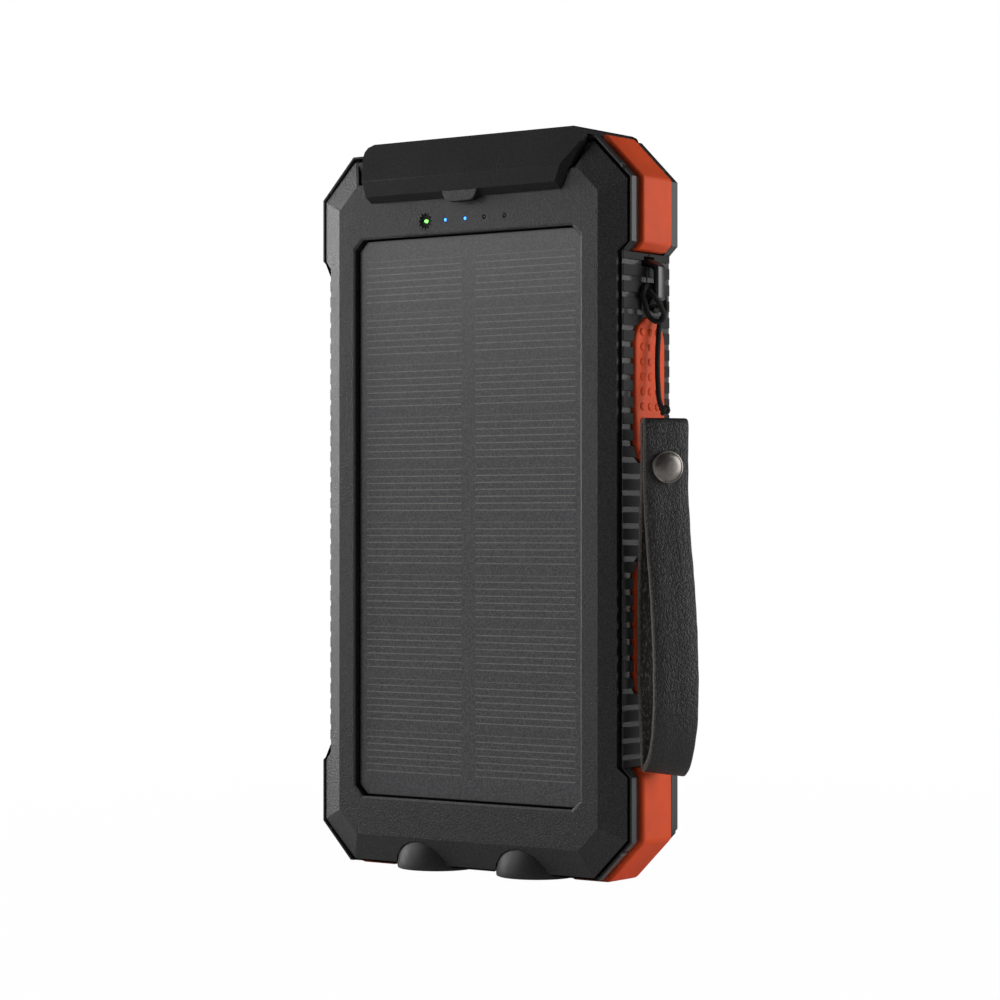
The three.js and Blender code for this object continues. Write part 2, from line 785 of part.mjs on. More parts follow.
// A lip round the front cover's rim, bevelled inside to a narrow edge.
function frontLip() {
  const start = frameFront - lipLength;
  const inner = housingOutline(coverInset - lipGap);
  const bevel = loft(housingOutline(lipEdge), inner, start, start + lipSlope);
  const hole = prism(inner, 'y', start - overrun, frontHalfBack);
  return frameRing(start, frontHalfBack).subtract(bevel).subtract(hole);
}

// The valley between the lip's bead and the bumpers. The waist has none.
function frontValley() {
  const start = frameFront - lipLength + beadWidth;
  const skin = prism(housingOutline(-overrun), 'y', start, bumperFront);
  const core = loft(housingOutline(valleyDepth), housingOutline(valleyDepth + valleySlope),
    start, bumperFront);
  const notch = wingLength + waistSlope;
  return skin.subtract(core).subtract(box(-housingWidth, housingWidth, start - overrun,
    bumperFront + overrun, notch, housingHeight - notch));
}

function frontFrame() {
  const groove = sealRing(frameFront - overrun, frameFront + sealDepth, fit / 2);
  const block = torchBlock(coverRim + skirtLength + fit, frontHalfBack);
  const ring = union([frameRing(frameFront, frontHalfBack), block, frontLip()]);
  return cut(ring, [groove, frontValley(), ...frameCuts(), ...ledHoles()]);
}

// The rear ridge is cut back behind the lower bumpers.
function heelCuts() {
  const cut = cornerCut + heelCut;
  const points = [
    [halfWidth - cut - overrun, -overrun], [halfWidth + overrun, -overrun],
    [halfWidth + overrun, cut + overrun],
  ];
  const mirrored = points.map(([x, z]) => [-x, z]).reverse();
  return [points, mirrored].map((outline) => prism(outline, 'y', bumperBack, rearRimFront));
}

const hingeCentre = [hingeY, hingeZ];

function knuckleSpans() {
  return Object.values(sides).map((side) => {
    const near = side * knuckleStart;
    const far = side * (knuckleStart + knuckleLength);
    return [Math.min(near, far), Math.max(near, far)];
  });
}

function rearFrame() {
  const groove = sealRing(frameBack - sealDepth, frameBack + overrun, fit / 2);
  const trough = rod('x', barrelRadius + fit, -flapLeft - fit, flapRight + fit,
    hingeCentre, barrelSides);
  const block = torchBlock(rearHalfFront, rearRimFront - skirtLength - fit);
  const ring = cut(frameRing(rearHalfFront, frameBack).add(block),
    [groove, ...frameCuts(), ...heelCuts(), trough]);
  const knuckles = knuckleSpans().flatMap(([x0, x1]) => [
    rod('x', barrelRadius, x0, x1, hingeCentre, barrelSides),
    box(x0, x1, hingeY - barrelRadius, frameBack, hingeZ - barrelRadius - overrun, hingeZ),
  ]);
  const bore = rod('x', pinRadius + fit, -flapRight, flapRight, hingeCentre, barrelSides);
  return union([ring, ...knuckles]).subtract(bore);
}

// Flap ends seen from the front, with a facet along the right edge of the front leaf.
function flapEnds(facet) {
  const height = flapTop - lipBottom;
  const right = flapRightShares.map(([u, v], i) => (
    [flapRight * u - facet * facetShares[i], lipBottom + height * v]));
  const left = flapLeftShares.map(([u, v]) => [-flapLeft * u, lipBottom + height * v]);
  return right.concat(left.reverse());
}

// The flap seen from the side. Its front leaf steps back into the cover's recess.
function flapProfile() {
  return [
    [-faceDepth - fit, lipBottom],
    [stripFront, lipBottom + flapLip],
    [stripFront, lipBottom + flapLip + flapStrip],
    [stripFront + flapRecede, flapTop],
    [hingeY, flapTop],
    [hingeY, flapUnder],
    [recessFloor - fit, flapUnder],
    [recessFloor - fit, recessBottom + fit],
    [-faceDepth - fit, recessBottom + fit],
  ];
}

function portFlap() {
  const wide = flapRight + overrun;
  const leaf = prism(flapProfile(), 'x', -wide, wide);
  const ends = solid(new ConvexGeometry([
    ...at(flapEnds(flapFacet), stripFront),
    ...at(flapEnds(0), stripFront + flapFacetDepth),
    ...at(flapEnds(0), hingeY + overrun),
  ]));
  const tabRight = [
    [tabBottomHalf, lipBottom + tabRise - tabDrop], [tabSideHalf, lipBottom - tabSideDrop],
    [tabTopHalf, lipBottom], [tabTopHalf, lipBottom + tabRise],
  ];
  const tabFront = tabRight.concat(tabRight.map(([x, z]) => [-x, z]).reverse());
  const tab = prism(tabFront, 'y', stripFront, stripFront + tabThickness);
  const barrel = rod('x', barrelRadius, -wide, wide, hingeCentre, barrelSides);
  const gaps = knuckleSpans().map(([x0, x1]) => (
    box(x0 - fit, x1 + fit, hingeY - barrelRadius - fit, hingeY + overrun,
      hingeZ - barrelRadius - overrun, flapTop + overrun)));
  const bore = rod('x', pinRadius + fit, -wide, wide, hingeCentre, barrelSides);
  return cut(union([leaf.add(barrel).intersect(ends), tab]), [...gaps, bore]);
}

function buttonFace(side, height) {
  const edge = moved(obround(buttonLength, buttonWidth, obroundSteps), middle, height);
  const top = moved(
    obround(buttonLength - crownBorder * 2, buttonWidth - crownBorder * 2, obroundSteps),
    middle, height);
  const crown = solid(new ConvexGeometry([
    ...edge.map(([y, z]) => new THREE.Vector3(side * buttonEdge, y, z)),
    ...top.map(([y, z]) => new THREE.Vector3(side * buttonOuter, y, z)),
  ]));
  const dots = [];
  for (let row = 0; row < dotRows; row += 1) {
    for (let column = 0; column < dotColumns; column += 1) {
      const centre = [
        middle + (column - (dotColumns - 1) / 2) * dotColumnPitch,
        height + (row - (dotRows - 1) / 2) * dotRowPitch,
      ];
      const reach = [buttonEdge, buttonOuter + dotProud].map((x) => side * x);
      dots.push(rod('x', dotRadius, Math.min(...reach), Math.max(...reach), centre, dotSides));
    }
  }
  return union([crown, ...dots]);
}

function buttonBody(side, height, depth) {
  const edge = moved(obround(buttonLength, buttonWidth, obroundSteps), middle, height);
  const near = waistHalf - depth;
  const body = side > 0
    ? prism(edge, 'x', near, buttonEdge) : prism(edge, 'x', -buttonEdge, -near);
  return body.add(buttonFace(side, height));
}

const flangeOuter = openingHalf - fit;
const flangeInner = flangeOuter - flangeThickness;

function powerButton() {
  const wide = obround(buttonLength + buttonFlange * 2, buttonWidth + buttonFlange * 2,
    obroundSteps);
  return union([
    buttonBody(sides.right, buttonHigh, sideWall + fit),
    prism(moved(wide, middle, buttonHigh), 'x', flangeInner, flangeOuter),
    rod('x', nubRadius, flangeInner - nubLength, flangeInner, [middle, buttonHigh], barrelSides),
  ]);
}

const plungerOuter = flangeInner - nubLength - buttonTravel - fit;
const plungerInner = plungerOuter - plungerLength;
const switchInner = plungerInner - switchHeight;

function powerSwitch() {
  const half = switchSize / 2;
  return box(switchInner, plungerInner, middle - half, middle + half,
    buttonHigh - half, buttonHigh + half)
    .add(rod('x', plungerRadius, plungerInner, plungerOuter, [middle, buttonHigh], barrelSides));
}

const buttonBoardOuter = switchInner - fit;
const buttonBoardInner = buttonBoardOuter - boardThickness;

function buttonBoard() {
  const half = buttonLength / 2;
  return box(buttonBoardInner, buttonBoardOuter, middle - buttonBoardWidth / 2,
    middle + buttonBoardWidth / 2, buttonHigh - half, buttonHigh + half);
}

function strapLug() {
  const half = lugHeight / 2;
  const leg = waistHalf - lugLeg;
  const inner = lugOuter - lugThickness;
  const innerHalf = half - lugThickness;
  const points = [
    [leg, -half], [waistHalf, -half], [lugOuter, -half + lugSlope],
    [lugOuter, half - lugSlope], [waistHalf, half], [leg, half],
    [leg, innerHalf], [waistHalf, innerHalf], [inner, innerHalf - lugSlope + fit],
    [inner, -innerHalf + lugSlope - fit], [waistHalf, -innerHalf], [leg, -innerHalf],
  ];
  return prism(moved(points, 0, lugMiddle), 'y', middle - lugWidth / 2, middle + lugWidth / 2);
}

// A port: a steel shell open at its top, with a tongue standing on its closed end.
function portShell(centre, width, height, length, wall) {
  const half = width / 2;
  const deep = height / 2;
  const bottom = usbTop - length;
  const shell = box(centre - half, centre + half, middle - deep, middle + deep, bottom, usbTop);
  const bore = box(centre - half + wall, centre + half - wall, middle - deep + wall,
    middle + deep - wall, bottom + wall, usbTop + overrun);
  return shell.subtract(bore);
}

function portTongue(centre) {
  const half = tongueWidth / 2;
  const back = middle + usbHeight / 2 - usbWall - fit;
  const bottom = usbTop - usbLength + usbWall + fit;
  const wide = usbWidth / 2 - usbWall - fit;
  return box(centre - half, centre + half, back - tongueThickness, back, bottom,
    usbTop - tongueRecess)
    .add(box(centre - wide, centre + wide, middle - usbHeight / 2 + usbWall + fit, back,
      bottom, bottom + tongueRoot));
}

function microPort() {
  const shell = portShell(0, microWidth, microHeight, microLength, microWall);
  const half = microWidth / 2 - microWall * 2 - fit;
  const tongue = box(-half, half, middle - microTongue / 2, middle + microTongue / 2,
    usbTop - microLength + microWall / 2, usbTop - tongueRecess);
  return shell.add(tongue);
}

function torchBarrel(side) {
  const bore = [
    [0, -overrun], [lensRadius + fit, -overrun],
    [lensRadius + fit, lensRecess + lensThickness + fit],
    [reflectorRadius, lensRecess + lensThickness + fit],
    [reflectorThroat, throatHeight], [reflectorThroat, torchHeight + overrun],
    [0, torchHeight + overrun],
  ].map(([r, h]) => new THREE.Vector2(r, h));
  const geometry = new THREE.LatheGeometry(bore, torchSides);
  geometry.rotateX(Math.PI / 2);
  geometry.translate(side * torchPlace, torchY, 0);
  return torchDome(side, 0).subtract(solid(geometry));
}

function torchCentre(side) {
  return [side * torchPlace, torchY];
}

function battery() {
  const half = batteryCorner / 2;
  const points = [
    [batteryLeft + half, batteryFront], [batteryRight - half, batteryFront],
    [batteryRight, batteryFront + half], [batteryRight, batteryBack - half],
    [batteryRight - half, batteryBack], [batteryLeft + half, batteryBack],
    [batteryLeft, batteryBack - half], [batteryLeft, batteryFront + half],
  ];
  return prism(points, 'z', batteryBottom, batteryTop);
}

function screw(centre) {
  const headTop = rearFace - headRecess;
  const headBottom = headTop - headHeight;
  return rod('y', headRadius, headBottom, headTop, centre, screwSides)
    .add(rod('y', screwRadius, frontHalfBack - screwGrip, headBottom, centre, screwSides));
}

// The strap is drawn flat: across the loop by drop below the top, then turned about the upright.
function smoothLoop(shares, steps) {
  const curve = new THREE.CatmullRomCurve3(
    shares.map(([u, v]) => new THREE.Vector3(u * strapBulge, -v * strapLength, 0)),
    true, 'centripetal');
  return curve.getPoints(steps).slice(0, steps).map((p) => new THREE.Vector2(p.x, p.y));
}

const strapTurn = THREE.MathUtils.degToRad(strapTurnDegrees);

function strapPlacement() {
  const across = new THREE.Vector3(Math.sin(strapTurn), -Math.cos(strapTurn), 0);
  const up = new THREE.Vector3(0, 0, 1);
  const along = new THREE.Vector3().crossVectors(across, up);
  const frame = new THREE.Matrix4().makeBasis(across, up, along);
  return frame.setPosition(strapX, strapY, strapTop);
}

function wristStrap() {
  const shape = new THREE.Shape(smoothLoop(strapLineShares, strapLineSteps));
  shape.holes.push(new THREE.Path(smoothLoop(strapHollowShares, strapHollowSteps).reverse()));
  const geometry = new THREE.ExtrudeGeometry(shape, { depth: strapWidth, bevelEnabled: false });
  geometry.translate(0, 0, -strapWidth / 2);
  geometry.applyMatrix4(strapPlacement());
  return solid(geometry);
}

// Both rivet heads lie flat against the strap, on its outer and inner faces.
function rivetHead(sign, radius, dome) {
  const surface = strapBulge * strapLapShare + fit;
  const profile = [
    [0, surface], [radius, surface], [radius, surface + rivetRim],
    [radius * Math.SQRT1_2, surface + dome], [0, surface + dome + rivetRim / 2],
  ].map(([r, h]) => new THREE.Vector2(r, h));
  const geometry = new THREE.LatheGeometry(profile, rivetSides);
  geometry.rotateZ(sign > 0 ? -Math.PI / 2 : Math.PI / 2);
  geometry.translate(0, -rivetDrop, 0);
  geometry.applyMatrix4(strapPlacement());
  return solid(geometry);
}

function cordTube() {
  const curve = new THREE.CatmullRomCurve3(
    cordRoute.map((point) => new THREE.Vector3(...point)), false, 'centripetal');
  const section = new THREE.Shape();
  for (let i = 0; i < cordSides; i += 1) {
    const angle = Math.PI * 2 * i / cordSides;
    const x = cordRadius * Math.cos(angle);
    const y = cordRadius * Math.sin(angle);
    if (i === 0) section.moveTo(x, y);
    else section.lineTo(x, y);
  }
  const steps = Math.round(curve.getLength() / cordStep);
  const geometry = new THREE.ExtrudeGeometry(section, {
    steps, extrudePath: curve, bevelEnabled: false,
  });
  return solid(geometry);
}

// A pulled-tight ball knot on the strap's top, lobed where its turns lie over one another.
function cordKnot() {
  const geometry = new THREE.SphereGeometry(knotRadius, rivetSides, rivetSides / 2);
  const position = geometry.attributes.position;
  const point = new THREE.Vector3();
  const lobeShare = 0.06;
  for (let i = 0; i < position.count; i += 1) {
    point.fromBufferAttribute(position, i);
    const turn = Math.atan2(point.y, point.x);
    const tilt = point.z / knotRadius;
    const lobe = 1 + lobeShare * Math.sin(knotTurns * turn + knotTurns * tilt * 2) * (1 - tilt * tilt);
    point.multiplyScalar(lobe);
    position.setXYZ(i, point.x, point.y, point.z);
  }
  geometry.translate(strapX, strapY, strapTop + fit + knotRadius);
  return solid(geometry);
}

// Covers, frame halves and everything set into them.
place('front_cover', frontCover(), shellBlack);
place('solar_panel', prism(windowOutline(-fit), 'y', panelFront, panelBack), panelDark);
place('front_frame', frontFrame(), ribBlack);
place('rear_frame', rearFrame(), ribBlack);
place('rear_cover', rearCover(), shellBlack);
place('front_seal', frontSeal(), sealGrey);
place('rear_seal', sealRing(frameBack - sealDepth + fit, frameBack + sealProud, -fit / 2),
  sealGrey);

for (const [name, side] of Object.entries(sides)) {
  place(`bumper_top_${name}`, bumper(side, true), rubberRed);
  place(`bumper_bottom_${name}`, bumper(side, false), rubberRed);
  place(`torch_barrel_${name}`, torchBarrel(side), reflectorChrome);
  place(`torch_lens_${name}`, rod('z', lensRadius, lensRecess, lensRecess + lensThickness,
    torchCentre(side), torchSides), lensClear);
  place(`torch_led_${name}`, rod('z', ledRadius, throatHeight + ledDrop, torchBlockTop,
    torchCentre(side), barrelSides), ledYellow);
}

place('power_button', powerButton(), rubberRed);
place('grip_inlay_right', buttonBody(sides.right, buttonLow, inlayDepth), rubberRed);
place('grip_inlay_left_upper', buttonBody(sides.left, buttonHigh, inlayDepth), rubberRed);
place('grip_inlay_left_lower', buttonBody(sides.left, buttonLow, inlayDepth), rubberRed);
place('power_switch', powerSwitch(), steelBright);
place('button_board', buttonBoard(), boardGreen);
place('strap_lug', strapLug(), lugBlack);

// Flap over the ports.
place('port_flap', portFlap(), rubberBlack);
place('flap_hinge_pin', rod('x', pinRadius, -pinHalf, pinHalf, hingeCentre, barrelSides),
  steelBright);
place('flap_seal', box(-bayHalfWidth + sealPlugInset, bayHalfWidth - sealPlugInset,
  middle - bayWidth / 2 + sealPlugInset, middle + bayWidth / 2 - sealPlugInset,
  flapUnder - fit - sealPlugDepth, flapUnder - fit), sealGrey);

// Main board, ports and indicators.
place('main_board', box(-mainBoardHalf, mainBoardHalf, boardFront, boardBack,
  mainBoardBottom, mainBoardTop), boardGreen);
for (const [name, side] of Object.entries(sides)) {
  const centre = side * usbFromMiddle;
  place(`usb_port_${name}`, portShell(centre, usbWidth, usbHeight, usbLength, usbWall), steelBright);
  place(`usb_tongue_${name}`, portTongue(centre), tongueWhite);
}
place('micro_usb_port', microPort(), steelBright);
const indicatorLooks = [lightGreen, lightBlue, lightBlue, lightOff, lightOff];
indicatorCentres().forEach((centre, i) => {
  place(`indicator_light_${i + 1}`, rod('y', pipeRadius, -faceDepth + pipeRecess,
    boardFront - fit, centre, pipeSides), indicatorLooks[i]);
});
place('panel_terminal', box(-panelTerminalWidth / 2, panelTerminalWidth / 2, panelBack + fit,
  boardFront - fit, windowTop - panelTerminalDrop - panelTerminalHeight,
  windowTop - panelTerminalDrop), nickel);

// Battery, its foam and the strips that join it to the board.
place('battery_cell', battery(), batterySilver);
place('battery_foam', box(batteryLeft + foamInset, batteryRight - foamInset, batteryBack + fit,
  rearRimFront - fit, batteryBottom + foamInset, batteryTop - foamInset), foamDark);
for (const [name, side] of Object.entries({ negative: -1, positive: 1 })) {
  const centre = side * tabStripPlace;
  place(`battery_tab_${name}`, box(centre - tabStripWidth / 2, centre + tabStripWidth / 2,
    boardBack + fit, boardBack + fit + tabStripThickness, batteryTop + fit,
    batteryTop + fit + tabStripLength), nickel);
}
place('torch_board', box(-torchBoardHalf, torchBoardHalf, torchY - torchBoardFront,
  torchY + torchBoardBack, torchBoardBottom, torchBoardTop), boardGreen);
place('torch_flex', box(-flexPlace, -flexPlace + flexWidth, padBack + fit,
  padBack + fit + flexThickness, torchBoardTop + fit, mainBoardBottom + flexOverlap), flexAmber);
place('button_flex', box(buttonBoardInner - fit - flexThickness, buttonBoardInner - fit,
  middle - flexWidth / 2, middle + flexWidth / 2, buttonHigh, mainBoardBottom + flexOverlap),
flexAmber);

// Screws from the back.
for (const [sideName, side] of Object.entries(sides)) {
  for (const [name, height] of Object.entries(screwHeights)) {
    place(`cover_screw_${name}_${sideName}`, screw([side * screwSide, height]), steelDark);
  }
}

// Wrist strap and its cord.
place('lanyard_cord', cordTube(), cordBlack);
place('cord_knot', cordKnot(), cordBlack);
place('wrist_strap', wristStrap(), leatherBlack);
place('rivet_cap', rivetHead(1, rivetRadius, rivetDome), steelDark);
place('rivet_back', rivetHead(-1, rivetBackRadius, rivetRim), steelDark);

// The origin lies below the middle of the housing's own box, which the lug widens on one side.
const boxMiddleX = (lugOuter - halfWidth - bumperProud) / 2;
const boxMiddleY = (stripFront + rearFace) / 2;
group.position.set(-boxMiddleX, -boxMiddleY, 0);

export default group;
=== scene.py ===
import json
import math

import bmesh
import bpy
from bpy.props import FloatProperty, FloatVectorProperty, IntProperty, PointerProperty
from bpy.types import Operator, Panel, PropertyGroup
from mathutils import Matrix, Vector


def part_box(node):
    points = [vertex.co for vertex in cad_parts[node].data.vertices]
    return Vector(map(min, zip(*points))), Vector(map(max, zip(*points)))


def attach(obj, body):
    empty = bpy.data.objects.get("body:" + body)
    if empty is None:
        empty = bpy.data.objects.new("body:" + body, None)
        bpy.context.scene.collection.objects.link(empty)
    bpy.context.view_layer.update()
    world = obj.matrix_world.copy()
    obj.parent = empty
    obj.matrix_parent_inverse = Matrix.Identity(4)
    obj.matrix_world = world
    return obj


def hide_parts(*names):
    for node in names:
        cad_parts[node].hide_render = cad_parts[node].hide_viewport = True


bl_info = {
    "name": "Rugged Solar Power Bank",
    "version": (1, 0, 0),
    "blender": (4, 5, 0),
    "location": "3D View > Sidebar > Power Bank",
    "description": "Dresses the packed power bank with its covers, rubber, panel, cord and strap",
    "category": "Add Mesh",
}

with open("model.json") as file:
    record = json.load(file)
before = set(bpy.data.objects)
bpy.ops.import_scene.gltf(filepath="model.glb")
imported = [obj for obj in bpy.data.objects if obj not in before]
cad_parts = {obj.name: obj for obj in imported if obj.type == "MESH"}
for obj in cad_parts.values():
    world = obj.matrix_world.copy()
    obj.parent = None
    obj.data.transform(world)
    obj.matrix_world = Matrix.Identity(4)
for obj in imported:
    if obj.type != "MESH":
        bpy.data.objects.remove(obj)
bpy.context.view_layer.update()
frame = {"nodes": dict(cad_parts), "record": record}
NODES = frame["nodes"]
MM = 0.001
MM2 = MM * MM

# Points of a new shape that are nearer than this are merged, and so are those of a copied CAD
# mesh, whose triangles are then joined where they turn by less than an angle.
NEAR = 0.0005 * MM
NEAR_COPIED = 0.002 * MM
LEVEL = math.radians(0.6)

# The drawing's own zero: between the covers' sides, on the front cover's rim, at the foot.
COVER_LOW, COVER_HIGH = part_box("front_cover")
RIM_DEPTH = 2.2 * MM
ZERO = Vector(((COVER_LOW.x + COVER_HIGH.x) / 2, COVER_LOW.y + RIM_DEPTH, 0))


def spot(x, y, z):
    """A place in the drawing's millimetres, as metres in the frame."""
    return ZERO + Vector((x, y, z)) * MM


def middle_of(node):
    low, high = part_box(node)
    return (low + high) / 2


# Shader maths


class Signal:
    """A value that changes over a surface. Sums on it add Math nodes."""

    def __init__(self, finish, socket):
        self.finish = finish
        self.socket = socket

    def math(self, operation, *others):
        return self.finish.node("ShaderNodeMath", {"operation": operation}, (self, *others))

    def flipped(self, operation, other):
        return self.finish.node("ShaderNodeMath", {"operation": operation}, (other, self))

    def __add__(self, other):
        return self.math("ADD", other)

    def __sub__(self, other):
        return self.math("SUBTRACT", other)

    def __mul__(self, other):
        return self.math("MULTIPLY", other)

    def __truediv__(self, other):
        return self.math("DIVIDE", other)

    def __mod__(self, other):
        return self.math("FLOORED_MODULO", other)

    def __rsub__(self, other):
        return self.flipped("SUBTRACT", other)

    def __rtruediv__(self, other):
        return self.flipped("DIVIDE", other)

    __radd__ = __add__
    __rmul__ = __mul__

    def ramp(self, low, high, start=0.0, end=1.0):
        """Smoothly from start to end as the value goes from low to high."""
        return self.finish.node(
            "ShaderNodeMapRange", {"interpolation_type": "SMOOTHSTEP"},
            {"Value": self, "From Min": low, "From Max": high, "To Min": start, "To Max": end})

    def above(self, edge, soft):
        return self.ramp(edge - soft, edge + soft)

    def within(self, low, high, soft):
        return self.above(low, soft) * (1 - self.above(high, soft))


class Finish:
    """One material, built from a Principled shader and the patterns that feed it."""

    def __init__(self, name, tone, roughness, **constants):
        self.material = bpy.data.materials.new(name)
        self.material.use_nodes = True
        self.tree = self.material.node_tree
        self.shader = self.tree.nodes["Principled BSDF"]
        self.material.diffuse_color = (*tone[:3], 1)
        self.feed("Base Color", (*tone[:3], 1))
        self.feed("Roughness", roughness)
        for socket, value in constants.items():
            self.feed(socket.replace("_", " "), value)

    def node(self, kind, settings=None, inputs=(), output=0):
        """Any node: its settings first, then the values or links of its sockets."""
        made = self.tree.nodes.new(kind)
        for name, value in (settings or {}).items():
            setattr(made, name, value)
        pairs = inputs.items() if isinstance(inputs, dict) else enumerate(inputs)
        for key, value in pairs:
            self.join(made.inputs[key], value)
        return Signal(self, made.outputs[output])

    def join(self, socket, value):
        if isinstance(value, Signal):
            self.tree.links.new(value.socket, socket)
        else:
            socket.default_value = value

    def feed(self, name, value):
        self.join(self.shader.inputs[name], value)

    def place(self, scale=(1, 1, 1)):
        """Object coordinates, stretched."""
        source = self.node("ShaderNodeTexCoord", {}, (), "Object")
        return self.node("ShaderNodeMapping", {}, {"Vector": source, "Scale": scale})

    def axes(self):
        """The place's three numbers, a signal for each."""
        parts = self.node("ShaderNodeSeparateXYZ", {}, (self.place(),)).socket.node
        return [Signal(self, output) for output in parts.outputs]

    def grain(self, place, scale, detail=3.0, rough=0.55, distortion=0.0, output="Fac"):
        return self.node("ShaderNodeTexNoise", {}, {
            "Vector": place, "Scale": scale, "Detail": detail, "Roughness": rough,
            "Distortion": distortion}, output)

    def cells(self, place, scale, feature="F1"):
        return self.node("ShaderNodeTexVoronoi", {"feature": feature}, {
            "Vector": place, "Scale": scale}, "Distance")

    def vector(self, operation, *inputs):
        return self.node("ShaderNodeVectorMath", {"operation": operation}, inputs)

    def blend(self, factor, first, second):
        """A colour between two. Its node's colour sockets are 6 and 7, and come out at 2."""
        pair = [c if isinstance(c, Signal) else (*c[:3], 1) for c in (first, second)]
        return self.node("ShaderNodeMix", {"data_type": "RGBA"},
                         dict(zip((0, 6, 7), (factor, *pair))), 2)

    def mottle(self, pattern, tone, dark, pale):
        """A tone times dark where a pattern is 0, and times pale where it is 1."""
        return self.blend(pattern, [c * dark for c in tone], [min(c * pale, 1) for c in tone])

    def bump(self, height, depth, strength=1.0):
        return self.node("ShaderNodeBump", {}, {
            "Height": height, "Distance": depth, "Strength": strength}, "Normal")


# Modelling


def finished(form, name, finishes, body, node=None, smooth=35.0, flat=None):
    """Turns a bmesh into a piece that rides on a body and stands for its CAD node.

    Faces over the area in flat stay plane, so that only the rounded edges are blended.
    """
    mesh = bpy.data.meshes.new(name)
    form.to_mesh(mesh)
    form.free()
    for finish in finishes:
        mesh.materials.append(finish_of(finish))
    mesh.shade_smooth()
    mesh.set_sharp_from_angle(angle=math.radians(smooth))
    for polygon in mesh.polygons:
        if flat and polygon.area > flat:
            polygon.use_smooth = False
    piece = bpy.data.objects.new(name, mesh)
    bpy.context.scene.collection.objects.link(piece)
    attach(piece, body)
    if node:
        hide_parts(node)
    return piece


def copied(node):
    """A CAD node's mesh as a bmesh of whole faces."""
    form = bmesh.new()
    form.from_mesh(NODES[node].data)
    bmesh.ops.remove_doubles(form, verts=form.verts, dist=NEAR_COPIED)
    bmesh.ops.dissolve_limit(form, angle_limit=LEVEL, verts=form.verts,
                             edges=form.edges, use_dissolve_boundaries=False)
    return form


def rounded(form, width, segments, sharper=24.0, keep=None):
    """Rounds the edges that turn by more than an angle in degrees, where keep says so."""
    edges = [edge for edge in form.edges
             if edge.is_manifold and edge.calc_face_angle(0) > math.radians(sharper)
             and (keep is None or keep(edge))]
    if edges:
        bmesh.ops.bevel(form, geom=edges, offset=width, offset_type="OFFSET", affect="EDGES",
                        segments=segments, profile=0.5, material=-1, clamp_overlap=True)
    return form


def skinned(form, rings, closed=False, capped=True):
    """Extrudes a first ring of points through the places of the rings that follow."""
    verts = [form.verts.new(point) for point in rings[0]]
    edges = [form.edges.new((a, b)) for a, b in zip(verts, verts[1:] + verts[:1])]
    first = list(verts)
    follow = rings[1:] + ([rings[0]] if closed else [])
    for ring in follow:
        made = bmesh.ops.extrude_edge_only(form, edges=edges)["geom"]
        fresh = {item for item in made if isinstance(item, bmesh.types.BMVert)}
        moved = []
        for vert, point in zip(verts, ring):
            partner = next(e.other_vert(vert) for e in vert.link_edges
                           if e.other_vert(vert) in fresh)
            partner.co = point
            moved.append(partner)
        verts = moved
        edges = [form.edges.get(pair) for pair in zip(verts, verts[1:] + verts[:1])]
    if closed:
        bmesh.ops.remove_doubles(form, verts=first + verts, dist=NEAR)
    elif capped:
        bmesh.ops.contextual_create(form, geom=first)
        bmesh.ops.contextual_create(form, geom=verts)
    return form


def turned(form, profile, place, steps, closed=False):
    """Spins a profile of radius and height about the local Z axis, then puts it in place."""
    start = len(form.verts)
    verts = [form.verts.new((radius, 0, height)) for radius, height in profile]
    edges = [form.edges.new(pair) for pair in zip(verts, verts[1:])]
    if closed:
        edges.append(form.edges.new((verts[-1], verts[0])))
    bmesh.ops.spin(form, geom=verts + edges, cent=(0, 0, 0), axis=(0, 0, 1), dvec=(0, 0, 0),
                   angle=math.tau, steps=steps, use_merge=True, use_duplicate=False)
    form.verts.ensure_lookup_table()
    fresh = form.verts[start:]
    bmesh.ops.remove_doubles(form, verts=fresh, dist=NEAR)
    form.verts.ensure_lookup_table()
    fresh = form.verts[start:]
    faces = list({face for vert in fresh for face in vert.link_faces})
    bmesh.ops.recalc_face_normals(form, faces=faces)
    bmesh.ops.transform(form, matrix=place, verts=fresh)
    return form


def facing(direction, centre):
    """A placement whose local Z points along a level direction."""
    z = Vector(direction).normalized()
    x = Vector((0, 0, 1)).cross(z).normalized()
    y = z.cross(x)
    turn = Matrix((x, y, z)).transposed().to_4x4()
    return Matrix.Translation(centre) @ turn


